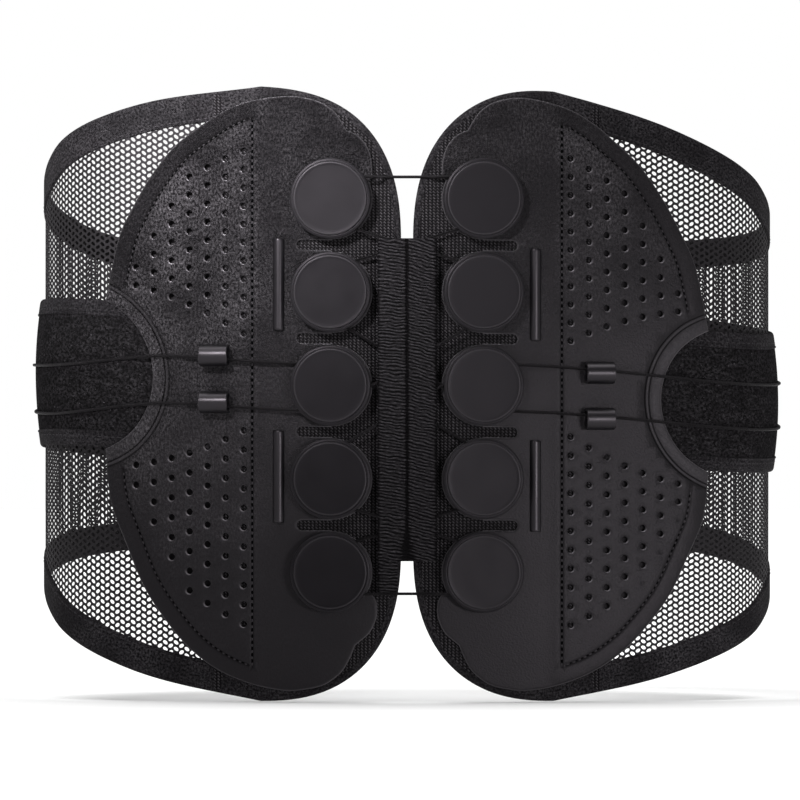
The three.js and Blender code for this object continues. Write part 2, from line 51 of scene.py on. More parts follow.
# ---- The belt, as the frame has it ----
HALF_WIDTH = 145
BACK_RADIUS = 450
SIDE_RADIUS = 48
FRONT_RADIUS = 150
HALF_HEIGHT = 120.6
PANEL_EDGE = 3.2
APEX = 58
MESH_START = 75.3
HINGE = 149
WING_END = 350
CORNER = 26
NOTCH = 62
SHOULDER_POWER = 2.45
LEAN = 7.2
STRAP_Z = 3.0
STRAP_HALF = 28
HARDWARE_Z = 3.8
PULLEY_X = 29.8
PULLEY_PITCH = 37
ROWS = ("top", "upper", "middle", "lower", "bottom")
FOLD_HALF = 14  # how far each side of the hinge the fabric bends

SIDE_CENTRE_X = HALF_WIDTH - SIDE_RADIUS
BACK_ANGLE = math.asin(SIDE_CENTRE_X / (BACK_RADIUS - SIDE_RADIUS))
FRONT_ANGLE = math.asin(SIDE_CENTRE_X / (FRONT_RADIUS - SIDE_RADIUS))
SIDE_ANGLE = math.pi - BACK_ANGLE - FRONT_ANGLE
BACK_DEPTH = BACK_RADIUS - (BACK_RADIUS - SIDE_RADIUS) * math.cos(BACK_ANGLE)
FRONT_DEPTH = FRONT_RADIUS - (FRONT_RADIUS - SIDE_RADIUS) * math.cos(FRONT_ANGLE)
HALF_DEPTH = (BACK_DEPTH + FRONT_DEPTH) / 2
SIDE_CENTRE_Y = BACK_DEPTH - HALF_DEPTH
BACK_END = BACK_RADIUS * BACK_ANGLE
SIDE_END = BACK_END + SIDE_RADIUS * SIDE_ANGLE


def clamp(value, low=0.0, high=1.0):
    return min(high, max(low, value))


def smooth(a, b, value):
    t = clamp((value - a) / (b - a))
    return t * t * (3 - 2 * t)


def mix(a, b, t):
    return a + (b - a) * t


def spread(a, b, count):
    return [mix(a, b, i / count) for i in range(count + 1)]


def belt_at(s):
    """Point and outward normal at a distance s round the belt: left is negative, right is positive."""
    side = -1 if s < 0 else 1
    run = abs(s)
    if run <= BACK_END:
        angle, radius, cx, cy = run / BACK_RADIUS, BACK_RADIUS, 0, BACK_RADIUS - HALF_DEPTH
    elif run <= SIDE_END:
        angle = BACK_ANGLE + (run - BACK_END) / SIDE_RADIUS
        radius, cx, cy = SIDE_RADIUS, SIDE_CENTRE_X, SIDE_CENTRE_Y
    else:
        angle = BACK_ANGLE + SIDE_ANGLE + (run - SIDE_END) / FRONT_RADIUS
        radius, cx, cy = FRONT_RADIUS, 0, HALF_DEPTH - FRONT_RADIUS
    normal = (side * math.sin(angle), -math.cos(angle))
    return (side * (cx + radius * math.sin(angle)), cy - radius * math.cos(angle)), normal


def lean(s, z):
    run = abs(s)
    bump = smooth(30, HINGE, run) - smooth(HINGE, 260, run)
    return -math.copysign(LEAN, s) * bump * clamp((z + 110) / 110)


def place(s, z, out):
    """A point on the belt, in metres."""
    (x, y), (nx, ny) = belt_at(s)
    return Vector((x + out * nx, y + out * ny, z + lean(s, z))) * METRES


def neighbours(line, i, closed=False):
    """The points before and after one point of a line, which may close on itself."""
    if closed:
        return line[i - 1], line[(i + 1) % len(line)]
    return line[max(0, i - 1)], line[min(len(line) - 1, i + 1)]


def through(points):
    """A smooth curve through a few points, as part of the belt's edge."""
    last = len(points) - 1
    slopes = []
    for i in range(len(points)):
        a, b = neighbours(points, i)
        slopes.append((b[1] - a[1]) / (b[0] - a[0]))

    def at(s):
        i = next((k for k in range(1, last) if s <= points[k][0]), last)
        (s0, z0), (s1, z1) = points[i - 1], points[i]
        w = s1 - s0
        t = clamp((s - s0) / w)
        bend = w * slopes[i - 1] * t * (1 - t) ** 2 + w * slopes[i] * t * t * (t - 1)
        return z0 + bend + (z1 - z0) * t * t * (3 - 2 * t)

    return at


outer_edge = through([(APEX, HALF_HEIGHT), (98, 112.4), (125, 103.2), (147, 93.6), (160, 86), (185, 73),
                      (230, 64.5), (300, 60), (WING_END, 58)])


def edge(run):
    """Half the belt's height."""
    if run >= APEX:
        past = clamp(run - (WING_END - CORNER), 0, CORNER)
        return outer_edge(run) - (CORNER - math.sqrt(CORNER * CORNER - past * past))
    u = clamp((APEX - run) / (APEX - PANEL_EDGE))
    rise = (1 - u ** SHOULDER_POWER) ** (1 / SHOULDER_POWER)
    return NOTCH - 2 + (HALF_HEIGHT - NOTCH + 2) * rise


def pulley_z(row):
    return HARDWARE_Z + PULLEY_PITCH * (2 - row)


# ---- Meshes ----
def build(name, points, faces, material, flat=None, fields=None, sharp=38):
    mesh = bpy.data.meshes.new(name)
    mesh.from_pydata(points, [], faces)
    mesh.validate()
    corners = np.empty(len(mesh.loops), dtype=np.int32)
    mesh.loops.foreach_get("vertex_index", corners)
    if flat is not None:
        layer = mesh.uv_layers.new(name="belt")
        layer.data.foreach_set("uv", np.asarray(flat, dtype=np.float32)[corners].ravel())
    for key, values in (fields or {}).items():
        layer = mesh.attributes.new(key, "FLOAT", "POINT")
        layer.data.foreach_set("value", np.asarray(values, dtype=np.float32))
    mesh.materials.append(material)
    mesh.shade_smooth()
    mesh.set_sharp_from_angle(angle=math.radians(sharp))
    obj = bpy.data.objects.new(name, mesh)
    bpy.context.scene.collection.objects.link(obj)
    return obj


def signed_area(flat, face):
    turn = 0.0
    for a, b in zip(face, face[1:] + face[:1]):
        turn += flat[a][0] * flat[b][1] - flat[b][0] * flat[a][1]
    return turn / 2


def slab(name, flat, faces, outer, inner, material, fields=None, sharp=38):
    """A closed piece of the belt: faces at the offsets outer and inner, with a wall along every free edge."""
    faces = [tuple(f) for f in faces]
    if sum(signed_area(flat, f) for f in faces) < 0:
        faces = [f[::-1] for f in faces]
    count = len(flat)
    points = [place(s, z, o) for (s, z), o in zip(flat, outer)]
    points += [place(s, z, o) for (s, z), o in zip(flat, inner)]
    edges = {(a, b) for f in faces for a, b in zip(f, f[1:] + f[:1])}
    walls = [(b, a, a + count, b + count) for a, b in edges if (b, a) not in edges]
    back = [tuple(i + count for i in reversed(f)) for f in faces]
    doubled = {key: list(values) * 2 for key, values in (fields or {}).items()}
    return build(name, points, faces + walls + back, material, list(flat) * 2, doubled, sharp)


def grid(side, runs, heights):
    """Flat points and faces of a strip: heights(run) gives its heights from bottom to top."""
    rows = [heights(run) for run in runs]
    tall = len(rows[0])
    flat = [(side * run, z) for run, column in zip(runs, rows) for z in column]
    faces = []
    for i in range(len(runs) - 1):
        for j in range(tall - 1):
            a = i * tall + j
            faces.append((a, a + tall, a + tall + 1, a + 1))
    return flat, faces


def ring_faces(rings, size, first=0, closed=False):
    """Four-sided faces between rings of points that follow one another."""
    faces = []
    for i in range(rings if closed else rings - 1):
        p, q = first + i * size, first + (i + 1) % rings * size
        for k in range(size):
            n = (k + 1) % size
            faces.append((p + k, q + k, q + n, p + n))
    return faces


def end_faces(rings, size):
    """The two faces that close a row of rings."""
    return [tuple(range(size)), tuple(range((rings - 1) * size, rings * size))[::-1]]


def ribbon(name, side, path, profile, material, closed=False):
    """Sweeps profile(run), a closed list of (inwards, outwards) points, along path.
    Inwards is to the path's right."""
    count = len(path)
    points, flat = [], []
    length = 0.0
    for i, (run, z) in enumerate(path):
        a, b = neighbours(path, i, closed)
        size = math.hypot(b[0] - a[0], b[1] - a[1])
        inwards = ((b[1] - a[1]) / size, -(b[0] - a[0]) / size)
        if i:
            length += math.dist(path[i - 1], path[i])
        for d, out in profile(run):
            points.append(place(side * (run + inwards[0] * d), z + inwards[1] * d, out))
            flat.append((length, d))
    ring = len(points) // count
    faces = [(a, d, c, b) for a, b, c, d in ring_faces(count, ring, closed=closed)]
    if not closed:
        faces += [f[::-1] for f in end_faces(count, ring)]
    if side < 0:
        faces = [f[::-1] for f in faces]
    return build(name, points, faces, material, flat)


def tube(name, points, radius, material, sides=10):
    """A round cord along points, in metres, with its texture laid along its length."""
    points = [Vector(p) for p in points]
    verts, flat = [], []
    length = 0.0
    up = Vector((0, 0, 1))
    for i, p in enumerate(points):
        before, after = neighbours(points, i)
        along = (after - before).normalized()
        across = along.cross(up)
        if across.length < 0.2:
            across = along.cross(Vector((0, 1, 0)))
        across.normalize()
        third = across.cross(along)
        up = third
        if i:
            length += (p - points[i - 1]).length / METRES
        for k in range(sides):
            angle = 2 * math.pi * k / sides
            verts.append(p + (across * math.cos(angle) + third * math.sin(angle)) * radius * METRES)
            flat.append((length, k / sides))
    faces = ring_faces(len(points), sides) + end_faces(len(points), sides)
    return build(name, verts, faces, material, flat)


def turned(name, profile, centre, axis, material, segments=72, sharp=30):
    """Turns profile, a closed list of (radius, height, painted highlight), radius and height in mm, about
    axis.
    """
    axis = Vector(axis).normalized()
    first = axis.cross(Vector((0, 0, 1)) if abs(axis.z) < 0.9 else Vector((1, 0, 0))).normalized()
    second = axis.cross(first)
    verts = []
    for k in range(segments):
        angle = 2 * math.pi * k / segments
        spoke = first * math.cos(angle) + second * math.sin(angle)
        verts += [centre + (spoke * r + axis * h) * METRES for r, h, _ in profile]
    faces = ring_faces(segments, len(profile), closed=True)
    painted_edge_highlight = [w for _, _, w in profile] * segments
    obj = build(name, verts, faces, material, fields={"painted_edge_highlight": painted_edge_highlight}, sharp=sharp)
    merge_close(obj)
    return obj


def merge_close(obj):
    work = bmesh.new()
    work.from_mesh(obj.data)
    bmesh.ops.remove_doubles(work, verts=work.verts, dist=1e-7)
    bmesh.ops.dissolve_degenerate(work, edges=work.edges, dist=1e-8)
    work.to_mesh(obj.data)
    work.free()


# ---- Flat shapes ----
def circle(x, z, radius, count):
    return [(x + radius * math.cos(2 * math.pi * k / count), z + radius * math.sin(2 * math.pi * k / count))
            for k in range(count)]


def curve_point(a, b, c, d, t):
    """A point between b and c on the smooth curve through a, b, c and d."""
    bend = (2 * a - 5 * b + 4 * c - d) * t * t
    return 0.5 * (2 * b + (c - a) * t + bend + (3 * b - a - 3 * c + d) * t ** 3)


def spline(points, step=1.6):
    """A smooth line through points, with a point every few millimetres."""
    ends = [points[0]] + list(points) + [points[-1]]
    line = []
    for a, b, c, d in zip(ends, ends[1:], ends[2:], ends[3:]):
        count = max(2, int(math.dist(b, c) / step))
        for k in range(count):
            t = k / count
            line.append(tuple(curve_point(p, q, r, w, t) for p, q, r, w in zip(a, b, c, d)))
    line.append(tuple(points[-1]))
    return line


def shifted(line, distance, closed=False):
    """The line moved to its right by a distance, which may be a function of the place along it."""
    moved = []
    for i, (x, z) in enumerate(line):
        a, b = neighbours(line, i, closed)
        size = math.dist(a, b) or 1
        d = distance(x) if callable(distance) else distance
        moved.append((x + d * (b[1] - a[1]) / size, z - d * (b[0] - a[0]) / size))
    return moved


def contains(loop, points):
    """Which of the points are inside a closed loop."""
    inside = np.zeros(len(points), dtype=bool)
    x, z = points[:, 0], points[:, 1]
    for (x0, z0), (x1, z1) in zip(loop, loop[1:] + loop[:1]):
        if z0 != z1:
            inside ^= ((z0 > z) != (z1 > z)) & (x < (x1 - x0) * (z - z0) / (z1 - z0) + x0)
    return inside


def distance_to(segments, points):
    """The distance from each point to the nearest of many segments."""
    nearest = np.full(len(points), 1e9)
    for (ax, az), (bx, bz) in segments:
        dx, dz = bx - ax, bz - az
        size = dx * dx + dz * dz or 1
        t = np.clip(((points[:, 0] - ax) * dx + (points[:, 1] - az) * dz) / size, 0, 1)
        gap = np.hypot(points[:, 0] - ax - t * dx, points[:, 1] - az - t * dz)
        nearest = np.minimum(nearest, gap)
    return nearest


def segments_of(line, closed=False):
    following = line[1:] + line[:1] if closed else line[1:]
    return list(zip(line, following))


def triangulate(loops, lines, extra, keep):
    """Cuts the plane along closed loops and open lines, with extra points, and keeps what keep() wants.
    Returns the flat points, the triangles and each point's distance from the kept region's rim."""
    points, edges = [], []
    for line, closed in [(loop, True) for loop in loops] + [(line, False) for line in lines]:
        first = len(points)
        points += line
        edges += [(first + k, first + k + 1) for k in range(len(line) - 1)]
        if closed:
            edges.append((len(points) - 1, first))
    points += extra
    cut = delaunay_2d_cdt([Vector(p) for p in points], edges, [], 0, 1e-4, False)
    flat = np.array([tuple(v) for v in cut[0]])
    triangles = np.array([tuple(f) for f in cut[2]])
    wanted = keep(flat[triangles].mean(axis=1))
    triangles = triangles[wanted]
    used, index = np.unique(triangles, return_inverse=True)
    flat = flat[used]
    triangles = index.reshape(-1, 3)
    directed = {(a, b) for f in triangles.tolist() for a, b in zip(f, f[1:] + f[:1])}
    rim = [(tuple(flat[a]), tuple(flat[b])) for a, b in directed if (b, a) not in directed]
    return flat, triangles.tolist(), distance_to(rim, flat)


def rounded(depth, radius):
    """How far a rounded edge has dropped at a distance in from it."""
    inside = np.clip(radius - depth, 0, radius)
    return radius - np.sqrt(radius * radius - inside * inside)


# ---- Materials ----
class Paint:
    """Makes a material's nodes with short calls; a value may be a number, a colour or a node's output."""

    def __init__(self, name, roughness=0.6, specular=0.2, sheen=0.0):
        self.material = bpy.data.materials.new(name)
        self.material.use_nodes = True
        self.tree = self.material.node_tree
        self.surface = self.tree.nodes["Principled BSDF"]
        self.surface.inputs["Roughness"].default_value = roughness
        self.surface.inputs["Specular IOR Level"].default_value = specular
        self.surface.inputs["Specular Tint"].default_value = (1, 0.91, 1, 1)
        self.surface.inputs["Sheen Weight"].default_value = sheen
        self.surface.inputs["Sheen Tint"].default_value = (1, 0.91, 1, 1)

    def node(self, kind, inputs=None, **settings):
        made = self.tree.nodes.new(kind)
        for key, value in settings.items():
            setattr(made, key, value)
        for key, value in (inputs or {}).items():
            self.feed(made.inputs[key], value)
        return made

    def feed(self, socket, value):
        if isinstance(value, bpy.types.NodeSocket):
            self.tree.links.new(value, socket)
        else:
            socket.default_value = value

    def belt(self):
        return self.node("ShaderNodeUVMap", uv_map="belt").outputs["UV"]

    def solid(self):
        """The place on the object itself, in mm."""
        return self.stretch(self.node("ShaderNodeTexCoord").outputs["Object"], (1000, 1000, 1000))

    def stretch(self, vector, by):
        return self.node("ShaderNodeVectorMath", {0: vector, 1: by}, operation="MULTIPLY").outputs[0]

    def split(self, vector):
        parts = self.node("ShaderNodeSeparateXYZ", {0: vector})
        return parts.outputs[0], parts.outputs[1]

    def math(self, operation, a, b=0.0):
        return self.node("ShaderNodeMath", {0: a, 1: b}, operation=operation).outputs[0]

    def plus(self, a, b):
        return self.math("ADD", a, b)

    def minus(self, a, b):
        return self.math("SUBTRACT", a, b)

    def times(self, a, b):
        return self.math("MULTIPLY", a, b)

    def wave(self, value, period, phase=0.0):
        """A sine of the value, from -1 to 1."""
        return self.math("SINE", self.plus(self.times(value, 2 * math.pi / period), phase))

    def noise(self, vector, size, detail=2.0, roughness=0.5):
        inputs = {"Vector": vector, "Scale": 1 / size, "Detail": detail, "Roughness": roughness}
        return self.node("ShaderNodeTexNoise", inputs).outputs["Fac"]

    def cells(self, vector, size, feature="F1"):
        inputs = {"Vector": vector, "Scale": 1 / size}
        return self.node("ShaderNodeTexVoronoi", inputs, feature=feature).outputs[0]

    def range(self, value, low, high, a=0.0, b=1.0):
        inputs = {"Value": value, "From Min": low, "From Max": high, "To Min": a, "To Max": b}
        return self.node("ShaderNodeMapRange", inputs).outputs[0]

    def field(self, name):
        return self.node("ShaderNodeAttribute", attribute_name=name).outputs["Fac"]

    def colours(self, factor, a, b):
        made = self.node("ShaderNodeMix", data_type="RGBA")
        self.feed(made.inputs["Factor"], factor)
        self.feed(made.inputs[6], (*a, 1) if isinstance(a, tuple) else a)
        self.feed(made.inputs[7], (*b, 1) if isinstance(b, tuple) else b)
        return made.outputs[2]

    def bump(self, height, depth, normal=None, strength=1.0):
        inputs = {"Height": height, "Distance": depth * METRES, "Strength": strength}
        if normal:
            inputs["Normal"] = normal
        return self.node("ShaderNodeBump", inputs).outputs[0]

    def cloth(self, tone, dark, light, height, depth):
        """Finishes a material that goes from dark to light with its tone, with bumps of a height."""
        return self.finish(self.colours(tone, dark, light), normal=self.bump(height, depth))

    def finish(self, colour=None, roughness=None, normal=None):
        for key, value in (("Base Color", colour), ("Roughness", roughness), ("Normal", normal)):
            if value is not None:
                self.feed(self.surface.inputs[key], (*value, 1) if isinstance(value, tuple) else value)
        return self.material


def grey(value, blue=0.0):
    """Almost black dyes are never quite neutral: a little less green than red and blue."""
    return (value, value * 0.93, value + blue)


def leather_paint():
    """Moulded shell: a fibrous, slightly shiny field inside a smoother border, with painted shade in its
    pressed lines.
    The grain's bump is deep at the upper left and fades almost smooth towards the lower right; its colour is
    painted lighter and more speckled at the upper left, a painted highlight where the light falls, and
    flatter and darker towards the lower right, painted shade."""
    paint = Paint("shell_leather", specular=0.1)
    at = paint.belt()
    s, z = paint.split(at)
    # Painted light: this gradient lightens and speckles the colour towards the upper left, where the light
    # falls; it also deepens the grain's bump there.
    grain_depth_and_painted_light = paint.range(paint.minus(z, paint.times(s, 0.6)), -30, 105, 0.1, 1.0)
    grained = paint.field("field")
    pressed = paint.field("pressed")
    pebbles = paint.cells(at, 0.85)
    fine = paint.noise(at, 0.8, 3, 0.6)
    cloudy = paint.noise(at, 22, 4, 0.6)
    fibres = paint.range(paint.noise(paint.stretch(at, (1.4, 0.8, 1)), 1.1, 4, 0.75), 0.43, 0.66)
    light = paint.times(fibres, paint.range(cloudy, 0.38, 0.62, 0.25, 1.0))
    light = paint.times(paint.times(light, grained), grain_depth_and_painted_light)
    # Painted shade: a flat, darker tone that takes over towards the lower right.
    painted_shade_tone = paint.times(paint.minus(1, grain_depth_and_painted_light), paint.range(grained, 1, 1.5, 0.11, 0.3))
    light = paint.plus(light, painted_shade_tone)
    colour = paint.colours(light, grey(0.0024, 0.0002), grey(0.082, 0.001))
    # Painted highlight: much lighter colour where the rim field is set, on cut edges, hole rims and the band
    # between the creases.
    colour = paint.colours(paint.field("rim"), colour, grey(0.22, 0.003))
    # Painted shade: near black in the pressed grooves and creases.
    colour = paint.colours(pressed, colour, grey(0.0012))
    height = paint.plus(paint.times(pebbles, grained), paint.times(fine, 2.2))
    rough = paint.range(fine, 0.3, 0.7, 0.34, 0.5)
    return paint.finish(colour, rough, paint.bump(paint.times(height, grain_depth_and_painted_light), 0.6))


def plastic_paint(name, tone, roughness, grain=0.025, specular=0.28):
    """Smooth moulded plastic with a barely visible grain, faint scuffed patches and a painted highlight along
    lips and edges where the profile asks for it.
    """
    paint = Paint(name, specular=specular)
    at = paint.solid()
    patches = paint.noise(at, 9, 3)
    grain_height = paint.noise(at, 0.4, 3)
    colour = paint.colours(patches, grey(tone * 0.8, 0.0003), grey(tone * 1.25, 0.0006))
    # Painted highlight: the profile's edge highlight field lightens the colour.
    colour = paint.colours(paint.field("painted_edge_highlight"), colour, grey(0.022, 0.0006))
    rough = paint.range(patches, 0.3, 0.7, roughness * 0.9, roughness * 1.12)
    return paint.finish(colour, rough, paint.bump(grain_height, grain))


def knit_paint():
    """Spacer fabric of the back panels: columns of V stitches with dark gaps between them."""
    paint = Paint("knit", roughness=0.8, specular=0.1)
    at = paint.belt()
    s, z = paint.split(at)
    column = 1.5
    row = 1.2
    slant = paint.math("ABSOLUTE", paint.wave(s, 2 * column))
    stitches = paint.wave(paint.plus(z, paint.times(slant, 0.6)), row)
    columns = paint.wave(s, column, 0.6)
    coarse = paint.times(paint.plus(stitches, 1), paint.plus(columns, 1))
    coarse = paint.range(coarse, 0.2, 3.2)
    thread = paint.noise(at, 0.8, 3, 0.7)
    height = paint.plus(coarse, paint.times(thread, 0.6))
    tone = paint.times(paint.range(coarse, 0.0, 0.8, 0.02, 1.0), paint.range(thread, 0.35, 0.65, 0.2, 1.0))
    return paint.cloth(tone, grey(0.0012), grey(0.08, 0.001), height, 0.5)


def binding_paint():
    """Smooth woven tape, slightly lighter, with fine cross ribs and a little dust."""
    paint = Paint("binding_tape", roughness=0.8, specular=0.1)
    at = paint.belt()
    along, across = paint.split(at)
    ribs = paint.times(paint.wave(along, 0.55), paint.wave(across, 0.7))
    fuzz = paint.noise(at, 0.9, 4, 0.7)
    patches = paint.noise(at, 14, 3)
    tone = paint.times(paint.range(fuzz, 0.42, 0.68), paint.range(patches, 0.35, 0.65, 0.4, 1.0))
    height = paint.plus(paint.times(ribs, 0.2), fuzz)
    return paint.cloth(tone, grey(0.0018, 0.0002), grey(0.055, 0.0008), height, 0.35)


def loop_paint():
    """Brushed loop tape: almost black, matted in soft swirls, with specks of lint."""
    paint = Paint("loop_pile", roughness=0.97, specular=0.02)
    at = paint.belt()
    pile = paint.noise(at, 1.2, 5, 0.75)
    swirl = paint.noise(paint.stretch(at, (0.8, 1.4, 1)), 5, 3)
    lint = paint.range(paint.noise(at, 0.9, 2), 0.68, 0.74)
    tone = paint.times(paint.range(pile, 0.44, 0.64), paint.range(swirl, 0.35, 0.65, 0.35, 1.0))
    colour = paint.colours(tone, grey(0.0045), grey(0.035, 0.0006))
    colour = paint.colours(lint, colour, grey(0.07, 0.002))
    height = paint.plus(pile, paint.times(swirl, 0.5))
    return paint.finish(colour, normal=paint.bump(height, 0.6))


def hook_paint():
    """Moulded hook tape: fine rows of stiff stubs."""
    paint = Paint("hook_rows", roughness=0.55, specular=0.25)
    at = paint.belt()
    s, z = paint.split(at)
    stubs = paint.times(paint.wave(s, 1.3), paint.wave(z, 1.0))
    tone = paint.range(stubs, -0.2, 0.8)
    return paint.cloth(tone, grey(0.003), grey(0.022, 0.0008), stubs, 0.35)


def mesh_paint():
    """The threads of the open mesh: twisted nylon with a soft shine."""
    paint = Paint("mesh_threads", roughness=0.6, specular=0.2)
    at = paint.belt()
    twist = paint.noise(paint.stretch(at, (1, 1.8, 1)), 0.35, 3)
    return paint.cloth(paint.range(twist, 0.3, 0.7), grey(0.003), grey(0.013, 0.0003), twist, 0.15)


def elastic_paint():
    """Gathered elastic: thread lines that follow the gathers, with painted shade in the valleys between the
    ridges, down the seam and at the selvage.
    """
    paint = Paint("elastic_weave", roughness=0.8, specular=0.08)
    at = paint.belt()
    thread = paint.noise(paint.stretch(at, (0.6, 2.2, 1)), 0.7, 4, 0.7)
    painted_valley_shade = paint.field("painted_valley_shade")
    tone = paint.times(paint.range(thread, 0.36, 0.66, 0.1, 1.0), paint.range(painted_valley_shade, 0, 0.8, 1.0, 0.02))
    return paint.cloth(tone, grey(0.0006), grey(0.055, 0.001), thread, 0.4)


def liner_paint():
    """Soft inner pad: brushed tricot with a fine diamond texture."""
    paint = Paint("liner_tricot", roughness=0.93, specular=0.15, sheen=0.08)
    at = paint.belt()
    s, z = paint.split(at)
    diamonds = paint.times(paint.wave(paint.plus(s, z), 3.2), paint.wave(paint.minus(s, z), 3.2))
    nap = paint.noise(at, 0.5, 4)
    tone = paint.plus(paint.range(diamonds, -1, 1, 0, 0.5), paint.times(nap, 0.5))
    height = paint.plus(diamonds, paint.times(nap, 0.7))
    return paint.cloth(tone, grey(0.007, 0.0003), grey(0.03, 0.001), height, 0.22)


def cord_paint():
    """Braided cord: two crossing sets of strands round it."""
    paint = Paint("cord_braid", roughness=0.55, specular=0.2)
    at = paint.belt()
    along, around = paint.split(at)
    turn = paint.times(around, 4.8)
    one = paint.wave(paint.plus(along, turn), 1.2)
    other = paint.wave(paint.minus(along, turn), 1.2)
    braid = paint.times(one, other)
    return paint.cloth(paint.range(braid, -0.6, 0.6), grey(0.0010), grey(0.006, 0.0001), braid, 0.15)


def stitch_paint():
    paint = Paint("stitch_thread", roughness=0.6, specular=0.25)
    twist = paint.noise(paint.solid(), 0.25, 2)
    return paint.cloth(twist, grey(0.007), grey(0.03, 0.001), twist, 0.1)


LEATHER = leather_paint()
CAP = plastic_paint("cap_plastic", 0.0026, 0.42, specular=0.13)
STAY = plastic_paint("stay_plastic", 0.004, 0.36, 0.004, specular=0.3)
GUIDE = plastic_paint("guide_plastic", 0.004, 0.36, 0.002, 0.32)
SHEAVE = plastic_paint("sheave_plastic", 0.02, 0.45)
TAB = plastic_paint("tab_plastic", 0.012, 0.42, 0.04)
KNIT = knit_paint()
BINDING = binding_paint()
LOOP = loop_paint()
HOOK = hook_paint()
MESH = mesh_paint()
ELASTIC = elastic_paint()
LINER = liner_paint()
CORD = cord_paint()
STITCH = stitch_paint()
# Painted shade: near-black matte marks that stand for the shadowed insides of the needle holes.
HOLE_SHADE = Paint("needle_hole_shade", roughness=1.0, specular=0.0).finish((0.0012, 0.0012, 0.0013))


# ---- Riding ----
def on(obj, body, slot, *nodes):
    """The piece moves with one body, and stands for some nodes of the frame."""
    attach(obj, body)
    settle(nodes)


def settle(nodes):
    if nodes:
        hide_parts(*nodes)


def across_hinge(obj, name, side, slot, *nodes):
    """Bakes the piece's placing into its mesh, and hides the frame's nodes it stands for."""
    start, end = (place(side * (HINGE + d), 0, 0) for d in (-FOLD_HALF, FOLD_HALF))
    start.z = end.z = 0
    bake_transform(obj)
    settle(nodes)


def across_spine(obj, slot, *nodes):
    """Bakes the piece's placing into its mesh, and hides the frame's nodes it stands for."""
    y = place(0, 0, 0).y
    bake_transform(obj)
    settle(nodes)


# ---- Back panels, piping and binding ----
def rows_between(low, high, near_edge, count):
    """Heights from low to high, closer together near the two ends."""
    return [low + d for d in near_edge] + spread(low + near_edge[-1], high - near_edge[-1], count)[1:-1] + [
        high - d for d in reversed(near_edge)]


PANEL_OUT = 2.4
PANEL_OUT_CENTRE = 1.15


def panel_out(run):
    return mix(PANEL_OUT_CENTRE, PANEL_OUT, smooth(12, 17, run))


def add_back_panel(side, name):
    runs = [PANEL_EDGE, 3.5, 4, 5, 6.5, 8, 9.5, 11, 12.5, 14, 15.5, 17] + spread(19, 76.5, 36)
    flat, faces = grid(side, runs, lambda run: rows_between(-edge(run), edge(run), [0, 0.4, 1, 2, 4], 90))
    drop = [min(1.0, edge(abs(s)) - abs(z)) for s, z in flat]
    outer = [panel_out(abs(s)) - 0.5 * (1 - d) ** 2 for (s, _), d in zip(flat, drop)]
    inner = [0.1 + 0.3 * (1 - d) ** 2 for d in drop]
    panel = slab(f"{name}_panel_knit", flat, faces, outer, inner, KNIT)
    on(panel, f"{name}_back", "back_fabric", f"{name}_back_panel")


def half_rim():
    """The belt's edge above its middle, from the spine over the shoulder to the wing's end."""
    rim = [(PANEL_EDGE, z) for z in spread(0, 57, 19)]
    for k in range(1, 49):
        angle = math.pi / 2 * k / 49
        u = math.cos(angle) ** (2 / SHOULDER_POWER)
        rise = math.sin(angle) ** (2 / SHOULDER_POWER)
        rim.append((APEX - (APEX - PANEL_EDGE) * u, NOTCH - 2 + (HALF_HEIGHT - NOTCH + 2) * rise))
    rim += [(run, edge(run)) for run in spread(APEX, WING_END - CORNER, 100)]
    for k in range(1, 13):
        run = WING_END - CORNER + CORNER * math.sin(math.pi / 2 * k / 12)
        rim.append((run, edge(min(run, WING_END))))
    rim += [(WING_END, z) for z in spread(edge(WING_END), 0, 12)[1:]]
    return rim


def whole_rim():
    top = half_rim()
    bottom = [(run, -z) for run, z in reversed(top)][1:-1]
    return top + bottom


def tape_width(run):
    return mix(2.0, 10.6, smooth(24, 62, run))


def tape_base(run):
    """How far out the fabric under the tape reaches."""
    if run < MESH_START - 4:
        return panel_out(run)
    return mix(PANEL_OUT, 1.1, smooth(MESH_START - 4, MESH_START + 6, run))


def tape_top(run, thickness):
    """The tape's outer face, which sinks a little near the wing's end."""
    return tape_base(run) + thickness - 0.25 * smooth(330, 340, run)


SEAM_START = 66  # the seam in the binding isn't seen nearer the spine than this


def add_binding(side, name):
    def profile(run):
        width = tape_width(run)
        top = tape_top(run, 0.28)
        fold = 0.42 * width
        dent = 0.16 if width > 6 else 0.0
        outer = [(width, top - 0.35), (width - 0.25, top - 0.05), (width - 0.9, top),
                 (fold + 0.5, top), (fold, top - dent), (fold - 0.5, top),
                 (0.5, top - 0.02), (-0.3, top - 0.22), (-0.75, top - 0.6)]
        inner = [(-0.85, 0.2), (-0.5, -0.2), (0.4, -0.42), (width - 0.8, -0.42), (width, -0.1)]
        return outer + inner

    tape = ribbon(f"{name}_edge_binding", side, whole_rim(), profile, BINDING, closed=True)
    across_hinge(tape, name, side, "back_fabric")
    rim = whole_rim()
    moved = shifted(rim, lambda run: tape_width(run) - 1.4, closed=True)
    inset = [p for p, (run, _) in zip(moved, rim) if run > SEAM_START]
    halves = [[p for p in inset if p[1] > 0], [p for p in inset if p[1] <= 0]]
    seam = stitches(f"{name}_binding_seam", side, halves, lambda run, z: tape_top(run, 0.3),
                    3.0, 2.1, 0.42, 0.16)
    across_hinge(seam, name, side, "back_fabric")


